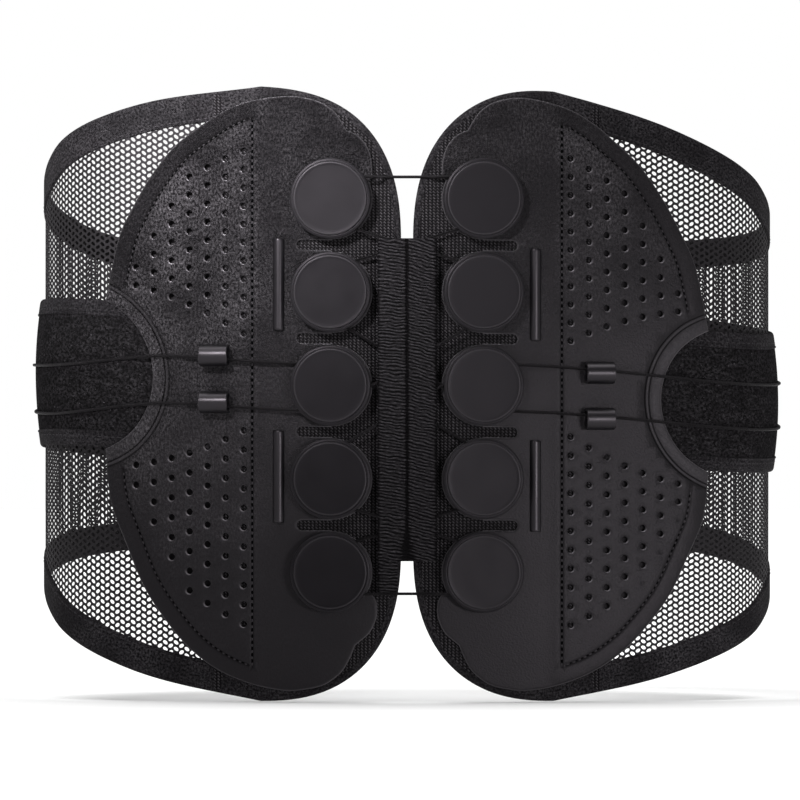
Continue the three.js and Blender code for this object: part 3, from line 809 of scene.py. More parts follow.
def stitches(name, side, lines, out, pitch, length, width, rise, material=None, shift=0.0):
    """A row of small rounded stitches along each line, all in one piece.
    Shift moves them by a part of the pitch."""
    points, faces = [], []
    lengthwise = [(-1.0, 0.0), (-0.72, 0.75), (0.0, 1.0), (0.72, 0.75), (1.0, 0.0)]
    section = [(-1, -0.25), (-0.6, 0.75), (0, 1.0), (0.6, 0.75), (1, -0.25)]
    for line in lines:
        steps = [0.0]
        for a, b in zip(line, line[1:]):
            steps.append(steps[-1] + math.dist(a, b))
        for k in range(int(steps[-1] / pitch - shift)):
            want = (k + 0.5 + shift) * pitch
            i = next(j for j in range(1, len(steps)) if steps[j] >= want)
            t = (want - steps[i - 1]) / (steps[i] - steps[i - 1] or 1)
            x, z = (mix(p, q, t) for p, q in zip(line[i - 1], line[i]))
            size = math.dist(line[i - 1], line[i]) or 1
            ux, uz = (q - p for p, q in zip(line[i - 1], line[i]))
            ux, uz = ux / size, uz / size
            first = len(points)
            base = out(x, z)
            for along, round_ in lengthwise:
                for across, up in section:
                    dx = ux * along * length / 2 - uz * across * round_ * width / 2
                    dz = uz * along * length / 2 + ux * across * round_ * width / 2
                    points.append(place(side * (x + dx), z + dz, base + rise * up * round_ - 0.05))
            quads = ring_faces(len(lengthwise), len(section), first)
            faces += quads if side > 0 else [quad[::-1] for quad in quads]
    obj = build(name, points, faces, material or STITCH)
    merge_close(obj)
    return obj


# ---- Open mesh ----
MESH_PITCH = (2.2, 2.5)
MESH_OUT = (0.72, 0.46)
SIDE_HOLE = (0.97, 0.76)  # half sizes of a mesh hole
WING_HOLE = (1.05, 0.95)
HOLE_SLANTS = (-0.26, 0.36)  # the holes lean one way and the other in turn


def hidden(cells):
    """Which cells are under the shell, the strap or the closure panel, where the mesh needs no holes."""
    outline = shell_loops()[0]
    under = contains(outline, cells) & (distance_to(segments_of(outline, True), cells) > 1.7)
    run, z = cells[:, 0], cells[:, 1]
    under |= (np.abs(z - STRAP_Z) < STRAP_HALF - 3) & (run < 252)
    return under | ((np.abs(z) < 46) & (run > 258) & (run < 343)) | (run < MESH_START + 3)


def add_mesh(side, name):
    """Threads of a honeycomb: a ring round each hole, or a plain patch where the cell is covered."""
    pitch_s, pitch_z = MESH_PITCH
    flat, faces, index = [], [], {}

    def corner(s, z):
        key = (round(s, 3), round(z, 3))
        if key not in index:
            index[key] = len(flat)
            flat.append((side * s, z))
        return index[key]

    wide = pitch_s / 0.75
    cells = []
    for i in range(int((WING_END - 1.5 - MESH_START) / pitch_s)):
        run = MESH_START + 1.6 + i * pitch_s
        slant = HOLE_SLANTS[i % 2]
        rows = [(j + 0.5 * (i % 2)) * pitch_z for j in range(-50, 50)]
        cells += [(run, z, slant) for z in rows if abs(z) < edge(run) - 2.2]
    ring = [(wide / 2, 0), (wide / 4, pitch_z / 2), (-wide / 4, pitch_z / 2), (-wide / 2, 0),
            (-wide / 4, -pitch_z / 2), (wide / 4, -pitch_z / 2)]
    for (run, z, slant), plain in zip(cells, hidden(np.array(cells))):
        outline = [corner(run + a, z + b) for a, b in ring]
        if plain:
            faces.append(tuple(outline))
            continue
        first = len(flat)
        half_wide, half_tall = SIDE_HOLE if run < HINGE + FOLD_HALF else WING_HOLE
        for k in range(12):
            angle = math.pi * k / 6
            a, b = half_wide * math.cos(angle), half_tall * math.sin(angle)
            flat.append((side * (run + a), z + b + slant * a))
        for k in range(6):
            n = (k + 1) % 6
            p, q, r = first + 2 * k, first + 2 * k + 1, first + (2 * k + 2) % 12
            faces.append((outline[k], outline[n], r, q, p))
    outer, inner = ([v] * len(flat) for v in MESH_OUT)
    threads = slab(f"{name}_mesh_threads", flat, faces, outer, inner, MESH, sharp=80)
    across_hinge(threads, name, side, "mesh", f"{name}_side_mesh", f"{name}_wing_mesh")


# ---- Straps ----
STRAP_OUT = 2.5
STRAP_BULGE = 2.2
STRAP_TAPE = 5.6
STRAP_SEAM = 3.4


def strap_bulge(run, z):
    """How far the strap bows away from the mesh as it rounds the side."""
    across = clamp(1 - ((z - STRAP_Z) / STRAP_HALF) ** 2)
    return STRAP_BULGE * across * smooth(110, 140, run) * (1 - smooth(172, 222, run))


def add_strap(side, name):
    runs = spread(77, HINGE - 18, 18) + spread(HINGE - 16, HINGE + 40, 28) + spread(HINGE + 43, 256.5, 22)
    low, high = STRAP_Z - STRAP_HALF, STRAP_Z + STRAP_HALF
    flat, faces = grid(side, runs, lambda run: rows_between(low + 0.5, high - 0.5, [0, 0.5, 1.5], 20))
    bulge = [strap_bulge(abs(s), z) for s, z in flat]
    outer = [STRAP_OUT + b for b in bulge]
    pile = slab(f"{name}_strap_loop", flat, faces, outer, [1.55 + b for b in bulge], LOOP)
    across_hinge(pile, name, side, "loop", f"{name}_side_strap", f"{name}_wing_strap")

    def profile(run):
        width = STRAP_TAPE
        top = STRAP_OUT + 0.22
        section = [(width, top - 0.3), (width - 0.1, top + 0.1), (width - 0.45, top + 0.28),
                   (width - 0.8, top + 0.12), (width - 1.05, top - 0.12), (width - 1.3, top), (0.6, top),
                   (-0.2, top - 0.2), (-0.6, top - 0.6), (-0.5, 1.5), (0.3, 1.36), (width, 1.4)]
        return [(d, out + strap_bulge(run, STRAP_Z + STRAP_HALF - 0.5 - d)) for d, out in section]

    for which, z, order in (("upper", high, 1), ("lower", low, -1)):
        path = [(run, z) for run in runs][::order]
        tape = ribbon(f"{name}_strap_{which}_edge", side, path, profile, BINDING)
        across_hinge(tape, name, side, "loop")
        line = [(run, z - order * STRAP_SEAM) for run in runs]
        seam = stitches(f"{name}_strap_{which}_seam", side, [line],
                        lambda run, z: STRAP_OUT + 0.24 + strap_bulge(run, z), 2.8, 2.0, 0.4, 0.15)
        across_hinge(seam, name, side, "loop")


# ---- Shells ----
SHELL_OUT = 4.45
SHELL_IN = 2.95
NOTCH_CENTRE = (132.2, 2.7)
NOTCH_RADIUS = 31.2
NOTCH_TIP = 120
PAD_RADIUS = 16.2
SLOT_END = 43.5
SLOT_HALF = 2
BORDER = 6.7
CREASES = (5.2, 6.8)  # two lines pressed round the cut for the strap
FIELD_EDGE = 61
HOLE_RADIUS = 1.3
HOLE_START = 64.5
HOLE_STEP = 7.22
HOLE_PITCH = 7.23
LOWER_HOLE_PITCH = 7.57
HOLE_COLUMNS = 7
HOLE_ROWS = 11
SHELL_STITCH = 2.45
HOLE_SHINE = (0.5, -0.866)  # the side of each hole that catches the light: outward and down

TIP_ANGLE = math.acos((NOTCH_TIP - NOTCH_CENTRE[0]) / NOTCH_RADIUS)
TIP_Z = NOTCH_RADIUS * math.sin(TIP_ANGLE)
UPPER_ARC = spline([(NOTCH_TIP, NOTCH_CENTRE[1] + TIP_Z), (115, 55.5), (110, 67.7), (102, 82), (92.5, 94.6),
                    (84, 102), (74, 109.6), (63, 115), (48, 118), (38, 117.2), (31, 114.3), (26.8, 110),
                    (23.9, 104.9)])
UPPER_COLLAR = spline([(23.9, 104.9), (20, 103.3), (16.2, 99.3), (14, 93.5), (13.6, 86)])
LOWER_COLLAR = spline([(13.6, -79.4), (12.2, -81.5), (11.9, -87.5), (14.6, -94), (20.4, -99.2)])
LOWER_ARC = spline([(20.4, -99.2), (22.6, -104.5), (26, -110), (32.5, -114.8), (40, -116.7), (48, -117.2),
                    (60, -115), (74, -109.5), (86, -101), (96, -90), (105, -77), (112, -61), (118, -45),
                    (NOTCH_TIP, NOTCH_CENTRE[1] - TIP_Z)])


def notch_arc(radius, trim=0.0, count=40):
    """The cut for the strap, from its lower tip to its upper tip."""
    low, high = 2 * math.pi - TIP_ANGLE - trim, TIP_ANGLE + trim
    return [(NOTCH_CENTRE[0] + radius * math.cos(a), NOTCH_CENTRE[1] + radius * math.sin(a))
            for a in spread(low, high, count)]


def shell_loops():
    outline = UPPER_ARC + UPPER_COLLAR[1:] + [(PULLEY_X, pulley_z(0)), (PULLEY_X, pulley_z(4))] + LOWER_COLLAR
    outline += LOWER_ARC[1:] + notch_arc(NOTCH_RADIUS)[1:-1]
    pads = [circle(PULLEY_X, pulley_z(row), PAD_RADIUS, 64) for row in range(5)]
    slots = [slot_loop(row, SLOT_HALF) for row in range(4)]
    return outline, pads, slots


def slot_loop(row, half):
    z = (pulley_z(row) + pulley_z(row + 1)) / 2
    end = [(SLOT_END - SLOT_HALF + half * math.cos(a), z + half * math.sin(a))
           for a in spread(-math.pi / 2, math.pi / 2, 12)]
    return [(8, z - half)] + end + [(8, z + half)]


def inside_arc(line, distance):
    """A line at a distance inside the shell's outer edge."""
    cx, cz = 40, 0
    moved = shifted(line, distance)
    if math.dist(moved[len(moved) // 2], (cx, cz)) > math.dist(line[len(line) // 2], (cx, cz)):
        moved = shifted(line, -distance)
    return moved


def field_lines():
    """The three stitched lines round the punched field: its upper, lower and upright edges."""
    notch = notch_arc(NOTCH_RADIUS + CREASES[1], -0.1)
    keep = [p for p in inside_arc(UPPER_ARC, BORDER) if p[0] > FIELD_EDGE]
    upper = [p for p in keep if p[1] > notch[-1][1] - 2]
    keep = [p for p in inside_arc(LOWER_ARC, BORDER) if p[0] > FIELD_EDGE]
    lower = [p for p in keep if p[1] < notch[0][1] + 2]
    upright = [(FIELD_EDGE, z) for z in spread(-108, 109, 90)]
    return upper, lower, upright


def punched_holes():
    """Centres of the punched holes and of the unpunched dimples at the fields' corners.
    The columns are staggered, mirrored about the pulleys' middle, and shorter towards the side."""
    holes, dimples = [], []
    for sign, pitch in ((1, HOLE_PITCH), (-1, LOWER_HOLE_PITCH)):
        for column in range(HOLE_COLUMNS):
            x = HOLE_START + HOLE_STEP * column
            fall = (3.3 * column + 0.225 * column ** 2) * pitch / HOLE_PITCH
            top = 19.1 + (HOLE_ROWS - 1) * pitch - fall
            skipped = max(0, column - 3)
            for k in range(HOLE_ROWS - column):
                spot = (x, HARDWARE_Z + sign * (top - pitch * k))
                if k >= skipped:
                    holes.append(spot)
                elif k == skipped - 1:
                    dimples.append(spot)
    return holes, dimples


def add_shell(side, name):
    outline, pads, slots = shell_loops()
    outer_rim = segments_of(UPPER_ARC) + segments_of(LOWER_ARC) + segments_of(notch_arc(NOTCH_RADIUS))
    holes, dimples = punched_holes()
    upper, lower, upright = field_lines()
    loops = [outline] + pads + slots
    pad_rings = [PAD_RADIUS - d for d in (0.25, 0.6, 1.1)]
    loops += [circle(PULLEY_X, pulley_z(row), radius, 64) for row in range(5) for radius in pad_rings]
    loops += [slot_loop(row, SLOT_HALF + d) for row in range(4) for d in (0.25, 0.6, 1.0)]
    for x, z in holes:
        loops += [circle(x, z, HOLE_RADIUS + d, 16) for d in (0, 0.15, 0.35, 0.6)]
    for x, z in dimples:
        loops += [circle(x, z, d, 12) for d in (0.4, 0.8, 1.2)]
    lines = []
    for d in (0.25, 0.6, 1.1):
        lines += [inside_arc(UPPER_ARC, d), inside_arc(LOWER_ARC, d), inside_arc(UPPER_COLLAR, d),
                  inside_arc(LOWER_COLLAR, d), notch_arc(NOTCH_RADIUS + d)]
    for line in (upper, lower, upright):
        lines += [shifted(line, d) for d in (-1.3, -0.7, -0.35, 0, 0.35, 0.7, 1.3)]
    lines += [notch_arc(NOTCH_RADIUS + c + d, -0.1) for c in CREASES for d in (-0.45, -0.2, 0, 0.2, 0.45)]
    extra = [(x, z) for x in spread(14, 122, 27) for z in spread(-118, 118, 59)]

    def keep(points):
        kept = contains(outline, points)
        for pad in pads:
            kept |= contains(pad, points)
        for slot_ in slots:
            kept &= ~contains(slot_, points)
        for x, z in holes:
            kept &= np.hypot(points[:, 0] - x, points[:, 1] - z) > HOLE_RADIUS
        return kept

    flat, faces, rim = triangulate(loops, lines, extra, keep)
    stitched = distance_to(segments_of(upper) + segments_of(lower) + segments_of(upright), flat)
    creases = [segments_of(notch_arc(NOTCH_RADIUS + d, -0.1)) for d in CREASES]
    creased = distance_to(creases[0] + creases[1], flat)
    border = distance_to(outer_rim, flat)
    step = np.clip((flat[:, 0] - (FIELD_EDGE - 2.6)) / 0.6, 0, 1)
    groove = 0.34 * np.exp(-(stitched / 0.62) ** 2) + 0.34 * np.exp(-(creased / 0.34) ** 2)
    raised = np.where(border < BORDER, 0.18, 0.0) * np.clip((border - 0.2) / 1.0, 0, 1)
    dents = np.zeros(len(flat))
    for x, z in dimples:
        dents += 0.35 * np.exp(-(np.hypot(flat[:, 0] - x, flat[:, 1] - z) / 0.8) ** 2)
    outer = SHELL_OUT - rounded(rim, 0.7) - groove - dents - 0.22 * (1 - step) + raised * step
    inner = np.full(len(flat), float(SHELL_IN))
    inside_field = (border > BORDER) & (flat[:, 0] > FIELD_EDGE - 2)
    grained = np.where(inside_field, 1.0, np.where(flat[:, 0] < FIELD_EDGE - 2, 0.5, 0.25))
    from_notch = distance_to(segments_of(notch_arc(NOTCH_RADIUS)), flat)
    grained[from_notch < CREASES[0]] = 1.5
    # Painted highlight for the rim field: a light line along every cut edge, strongest on the outer, lower
    # side of each hole.
    shine = 0.3 * np.exp(-(rim / 0.28) ** 2)
    for x, z in holes:
        away = flat - (x, z)
        reach = np.hypot(away[:, 0], away[:, 1])
        near = reach < HOLE_RADIUS + 0.6
        facing = np.clip((away @ np.array(HOLE_SHINE))[near] / reach[near], 0, 1)
        shine[near] *= 0.3 + 3.2 * facing ** 2
    # Painted highlight on the band between the two creases round the cut.
    shine += 0.2 * np.exp(-((from_notch - sum(CREASES) / 2) / 0.35) ** 2)
    # Where painted shade darkens the pressed grooves and creases.
    pressed = np.clip(np.exp(-(stitched / 0.55) ** 2) + 0.8 * np.exp(-(creased / 0.3) ** 2), 0, 1)
    signed = [(side * x, z) for x, z in flat.tolist()]
    fields = {"field": grained, "pressed": pressed, "rim": np.clip(shine, 0, 1)}
    skin = slab(f"{name}_shell_skin", signed, faces, outer.tolist(), inner.tolist(), LEATHER, fields,
                sharp=50)
    on(skin, f"{name}_back", "shell", f"{name}_shell")
    seams = [upper, lower, upright]
    marks = stitches(f"{name}_shell_stitches", side, seams, lambda x, z: SHELL_OUT - 0.3,
                     SHELL_STITCH, 1.2, 0.8, 0.36)
    on(marks, f"{name}_back", "shell")
    # Marks of painted shade between the stitches, where the needle holes are.
    hole_shade_marks = stitches(f"{name}_shell_needle_holes", side, seams, lambda x, z: SHELL_OUT - 0.24,
                    SHELL_STITCH, 1.4, 1.45, 0.16, HOLE_SHADE, shift=0.5)
    on(hole_shade_marks, f"{name}_back", "shell")


STAY_S = 50.5
STAY_OFFSET = 38
STAY_SHIFT = 1.5  # higher on the left shell, lower on the right one
STAY_SIZE = (36.4, 4.4, 1.95)


def add_stays(side, name):
    """Half-round rods with flat ends, lying on the shell."""
    length, width, height = STAY_SIZE
    around = 17
    ends = [(0, 0.86), (0.12, 0.95), (0.4, 1)]
    lengthwise = [(-length / 2 + d, swell) for d, swell in ends]
    lengthwise += [(z, 1) for z in spread(-length / 2 + 1, length / 2 - 1, 12)]
    lengthwise += [(length / 2 - d, swell) for d, swell in reversed(ends)]
    for which, sign in (("upper", 1), ("lower", -1)):
        centre = HARDWARE_Z + sign * STAY_OFFSET - side * STAY_SHIFT
        points = []
        for z, swell in lengthwise:
            for k in range(around):
                angle = math.pi * k / (around - 1)
                across = math.cos(angle) * width / 2 * swell
                rise = math.sin(angle) * height * swell
                points.append(place(side * (STAY_S + across), centre + z, SHELL_OUT - 0.2 + rise))
        faces = ring_faces(len(lengthwise), around) + end_faces(len(lengthwise), around)
        if side < 0:
            faces = [f[::-1] for f in faces]
        rod = build(f"{name}_{which}_rod", points, faces, STAY, sharp=40)
        on(rod, f"{name}_back", "stay", f"{name}_{which}_stay")


# ---- Pulleys ----
# The third number of each point is the strength of a painted highlight, a light line on the cap's lip.
CAP_PROFILE = [(0.001, 4.8, 0), (2.5, 4.8, 0), (2.5, 9.3, 0), (15.2, 9.3, 0), (15.75, 9.4, 0.2),
               (15.9, 9.75, 0.5), (15.75, 10.1, 0.3), (15.3, 10.3, 0.1), (14.95, 10.36, 0),
               (14.75, 10.3, 0), (14.62, 10.32, 0), (14.52, 10.75, 0.4), (14.4, 11.0, 1),
               (14.15, 11.1, 0.8), (13.9, 11.08, 0.2), (13.6, 11.04, 0), (12.6, 11.02, 0), (9, 10.98, 0),
               (4, 10.96, 0), (0.001, 10.96, 0)]


def add_pulleys(side, name):
    for row, row_name in enumerate(ROWS):
        _, (nx, ny) = belt_at(side * PULLEY_X)
        centre = place(side * PULLEY_X, pulley_z(row), 0)
        cap = turned(f"{name}_{row_name}_cap", CAP_PROFILE, centre, (nx, ny, 0), CAP)
        on(cap, f"{name}_back", "cap", f"{name}_{row_name}_pulley_cap")


def dress_sheaves():
    for node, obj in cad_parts.items():
        if node.endswith("_sheave"):
            obj.data.materials.clear()
            obj.data.materials.append(SHEAVE)


# ---- Cord guides ----
GUIDE_S = 75.3
GUIDE_UP = 9.2
GUIDE_SHIFT = 1.15  # higher on the left shell, lower on the right one
GUIDE_CORD = 7.6  # how far out the cord runs through a guide
GUIDE_RADIUS = 4.35
GUIDE_HALF = 5.8
GUIDE_AXIS = 4.5 + 0.35 + GUIDE_RADIUS


def add_guides(side, name):
    half = GUIDE_HALF
    # The third numbers paint a highlight on the barrel's rounded ends.
    wall = [(3.3, -half + 0.3, 0), (3.6, -half, 0.2), (4.0, -half, 0.3), (4.3, -half + 0.3, 0.2),
            (GUIDE_RADIUS, -half + 0.8, 0), (GUIDE_RADIUS, half - 0.8, 0), (4.3, half - 0.3, 0.2),
            (4.0, half, 0.3), (3.6, half, 0.2), (3.3, half - 0.3, 0)]
    for which, sign in (("upper", 1), ("lower", -1)):
        z = STRAP_Z + sign * GUIDE_UP - side * GUIDE_SHIFT
        _, (nx, ny) = belt_at(side * GUIDE_S)
        centre = place(side * GUIDE_S, z, GUIDE_AXIS)
        barrel = turned(f"{name}_{which}_guide", wall, centre, (-ny, nx, 0), GUIDE, 48)
        on(barrel, f"{name}_back", "guide", f"{name}_{which}_cord_guide")
        runs = [GUIDE_S + d for d in (-4.8, -4.4, 4.4, 4.8)]
        flat, faces = grid(side, runs, lambda run: [z - 3.4, z - 3, z + 3, z + 3.4])
        foot = slab(f"{name}_{which}_guide_foot", flat, faces, [5.3] * len(flat), [4.3] * len(flat), GUIDE)
        on(foot, f"{name}_back", "guide")


# ---- Cords ----
CORD_RADIUS = 0.6
RUN_RADIUS = 8.6
LEVEL_OUT = {"low": 5.8, "high": 8.0}
TUNNEL = {"low": (5.25, 4.2), "high": (6.9, 5.6)}
BARE_CROSSING = 1.9
SHEAVE_EDGE = 19.8
TUNNEL_RIM = 12.5
TUNNEL_FLOOR = 7
ON_STRAP = 3.12
STRAND_END = HINGE - 22
PULL_START = HINGE + 34
TAB_HEEL = 270


def on_pulley(stop, angle):
    (x, y), (nx, ny) = belt_at(stop["x"])
    out, reach = LEVEL_OUT[stop["level"]], RUN_RADIUS * math.cos(angle)
    z = stop["z"] + RUN_RADIUS * math.sin(angle)
    return Vector((x - ny * reach + nx * out, y + nx * reach + ny * out, z)) * METRES


def leaving(a, b):
    dx, dz = b["x"] - a["x"], b["z"] - a["z"]
    return math.atan2(dz, dx) - math.asin(RUN_RADIUS * (b["turn"] - a["turn"]) / math.hypot(dx, dz))


def touch_angle(stop, direction):
    return direction - stop["turn"] * math.pi / 2


def round_pulley(stop, start, end):
    sweep = ((end - start) * stop["turn"]) % (2 * math.pi)
    return [on_pulley(stop, start + stop["turn"] * a) for a in spread(0, sweep, max(1, int(sweep / 0.2)))]


def crossing(a, b, start, end):
    """The gap between two pulleys: down off the sheaves, level under the elastic, and up again."""
    bare = a["row"] == b["row"]

    def descent(stop):
        rim, middle = TUNNEL[stop["level"]]
        return [(SHEAVE_EDGE, LEVEL_OUT[stop["level"]]), (TUNNEL_RIM, rim),
                (TUNNEL_FLOOR, BARE_CROSSING if bare else middle)]

    side = math.copysign(1, start.x)
    way = [(side * x, o) for x, o in descent(a)] + [(-side * x, o) for x, o in reversed(descent(b))]
    made = []
    for x, out in way:
        t = (x * METRES - start.x) / (end.x - start.x)
        made.append(place(x, mix(start.z, end.z, t) / METRES, out))
    return made


def cord_sag(side, run):
    return (7.5 if side < 0 else 1.0) * smooth(GUIDE_S + 7, HINGE, run)


def strand_in(side, sign, level):
    """A strand on the shell, from the strap through its guide to the middle pulley."""
    z = STRAP_Z + sign * GUIDE_UP
    runs = [(run, ON_STRAP + strap_bulge(run, z)) for run in spread(STRAND_END, 112, 6)]
    runs += [(104.5, 5.6), (97, 6), (GUIDE_S + 7, GUIDE_CORD), (GUIDE_S - 7, GUIDE_CORD), (56, 6.9),
             (40.2, LEVEL_OUT[level])]
    return [place(side * run, z - cord_sag(side, run), out) for run, out in runs]


def soften(points, step=0.0012):
    """A smooth line through the route's points."""
    ends = [points[0]] + points + [points[-1]]
    line = []
    for a, b, c, d in zip(ends, ends[1:], ends[2:], ends[3:]):
        count = max(1, int((c - b).length / step))
        line += [curve_point(a, b, c, d, k / count) for k in range(count)]
    line.append(points[-1])
    return line


def lacing_route(stops):
    first, last = stops[0], stops[-1]
    points = strand_in(-1, -first["turn"], first["level"])
    arriving = 0.0
    for i, stop in enumerate(stops):
        following = stops[i + 1] if i + 1 < len(stops) else None
        direction = leaving(stop, following) if following else 0.0
        arc = round_pulley(stop, touch_angle(stop, arriving), touch_angle(stop, direction))
        points += arc
        if following:
            end = on_pulley(following, touch_angle(following, direction))
            points += crossing(stop, following, arc[-1], end)
        arriving = direction
    return points + strand_in(1, -last["turn"], last["level"])[::-1]


def add_lacing():
    def stop(side, row, turn, level):
        return {"x": side * PULLEY_X, "z": pulley_z(row), "row": row, "turn": turn, "level": level}

    upper = [stop(-1, 2, 1, "high"), stop(1, 1, 1, "high"), stop(-1, 0, -1, "high"), stop(1, 0, -1, "low"),
             stop(-1, 1, 1, "low"), stop(1, 2, 1, "low")]
    lower = [stop(-1, 2, -1, "low"), stop(1, 3, -1, "low"), stop(-1, 4, 1, "low"), stop(1, 4, 1, "high"),
             stop(-1, 3, -1, "high"), stop(1, 2, -1, "high")]
    for which, stops in (("upper", upper), ("lower", lower)):
        cord = tube(f"{which}_lacing", soften(lacing_route(stops)), CORD_RADIUS, CORD)
        across_spine(cord, "cord", f"{which}_lacing_cord")


def side_z(side, sign, run):
    drop = cord_sag(side, min(run, HINGE)) * (1 - smooth(HINGE, 240, run))
    return STRAP_Z + sign * mix(GUIDE_UP, 8, smooth(HINGE, 240, run)) - drop


def add_pull_cords(side, name):
    for which, sign in (("upper", 1), ("lower", -1)):
        heights = [(run, side_z(side, sign, run)) for run in spread(STRAND_END, PULL_START, 20)]
        route = [place(side * run, z, ON_STRAP + strap_bulge(run, z)) for run, z in heights]
        strand = tube(f"{name}_{which}_side_strand", soften(route), CORD_RADIUS, CORD)
        across_hinge(strand, name, side, "cord")
    middle = (TAB_IN + TAB_OUT) / 2

    def half(sign):
        lying = [(run, ON_STRAP) for run in spread(PULL_START, 250, 14)]
        rising = [(256, ON_STRAP + 0.9), (262, middle - 0.4), (TAB_HEEL, middle)]
        heights = [(run, side_z(side, sign, run), out) for run, out in lying + rising]
        run_in = [place(side * run, z, out + strap_bulge(run, z)) for run, z, out in heights]
        bend = [place(side * (TAB_HEEL + 8 * math.sin(a)), STRAP_Z + sign * 8 * math.cos(a), middle)
                for a in spread(0.3, math.pi / 2 - 0.2, 4)]
        return run_in + bend

    loop = tube(f"{name}_pull_loop", soften(half(1) + half(-1)[::-1]), CORD_RADIUS, CORD)
    start, end = (place(side * run, 0, 0) for run in (190, 262))
    start.z = end.z = 0
    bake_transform(loop)
    settle([f"{name}_pull_cord"])


# ---- Elastic ----
ELASTIC_HALF = 11.5
ELASTIC_TOP = NOTCH
ELASTIC_BOTTOM = -66
ELASTIC_LEG = -78  # the left edge runs on this far down
ELASTIC_OUT = 8.4
ELASTIC_IN = 7.75
GATHER_PITCH = 1.3


def gather(s, z):
    """Height of the gathers: fine ridges across the elastic, broken and uneven, from -1 to 1."""
    drift = noise.noise(Vector((s * 0.05, z * 0.045, 1.7)))
    slope = (0.12 if s < 0 else 0.27) * s + 1.2 * drift
    phase = 2 * math.pi * (z + slope) / GATHER_PITCH
    uneven = 0.6 + 1.3 * noise.noise(Vector((s * 0.42, z * 0.8, 4.1)))
    return math.sin(phase + 2.8 * noise.noise(Vector((s * 0.34, z * 0.36, 9.3)))) * clamp(uneven, 0.1, 1.2)


def add_elastic():
    """Fine ridges across it, a seam down the middle that opens at the bottom, and a flat selvage."""
    runs = spread(-ELASTIC_HALF, ELASTIC_HALF, 56)
    heights = spread(ELASTIC_LEG, ELASTIC_TOP, 620)
    flat = [(s, z) for s in runs for z in heights]
    tall = len(heights)
    faces = []
    for i in range(len(runs) - 1):
        for j in range(tall - 1):
            if runs[i + 1] > -3.4 and heights[j] < ELASTIC_BOTTOM:
                continue
            a = i * tall + j
            faces.append((a, a + tall, a + tall + 1, a + 1))
    outer, painted_valley_shade = [], []
    for s, z in flat:
        ridge = gather(s, z)
        gape = smooth(-50, ELASTIC_BOTTOM, z) if z > ELASTIC_BOTTOM else 0
        seam = math.exp(-(s / (0.55 + 1.6 * gape)) ** 2) * (1 if z > ELASTIC_BOTTOM - 0.5 else 0)
        selvage = smooth(ELASTIC_HALF - 1.2, ELASTIC_HALF, abs(s))
        outer.append(ELASTIC_OUT + 0.26 * ridge * (1 - selvage) - 0.9 * seam - 0.6 * selvage)
        # Painted shade: darker in the gathers' valleys, in the seam's dip and at the lowered selvage.
        painted_valley_shade.append(clamp(0.55 - 0.75 * ridge + seam + 0.5 * selvage))
    flat, faces, kept = used_points(flat, faces)
    outer = [outer[k] for k in kept]
    painted_valley_shade = [painted_valley_shade[k] for k in kept]
    inner = [ELASTIC_IN if o > ELASTIC_IN + 0.15 else o - 0.25 for o in outer]
    gathered = slab("elastic_gathers", flat, faces, outer, inner, ELASTIC, {"painted_valley_shade": painted_valley_shade}, sharp=80)
    across_spine(gathered, "elastic", "lumbar_elastic")


def used_points(flat, faces):
    """Drops the points that no face uses; also returns the numbers of those kept."""
    kept = sorted({k for f in faces for k in f})
    order = {k: i for i, k in enumerate(kept)}
    return [flat[k] for k in kept], [tuple(order[k] for k in f) for f in faces], kept


# ---- Closure panels, tabs and pads ----
TAB_IN, TAB_OUT = 4.7, 7.5
TAB_RUN = (264, 338)
FINGER = (310, 14, 11)


def tab_half(run):
    a, b = TAB_RUN
    t = clamp((run - a) / (b - a))
    nose = math.sqrt(1 - clamp((t - 0.62) / 0.38) ** 2)
    heel = math.sqrt(1 - (1 - clamp(t / 0.12)) ** 2)
    return 6 + mix(20, 15, t) * min(nose, 0.45 + 0.55 * heel)


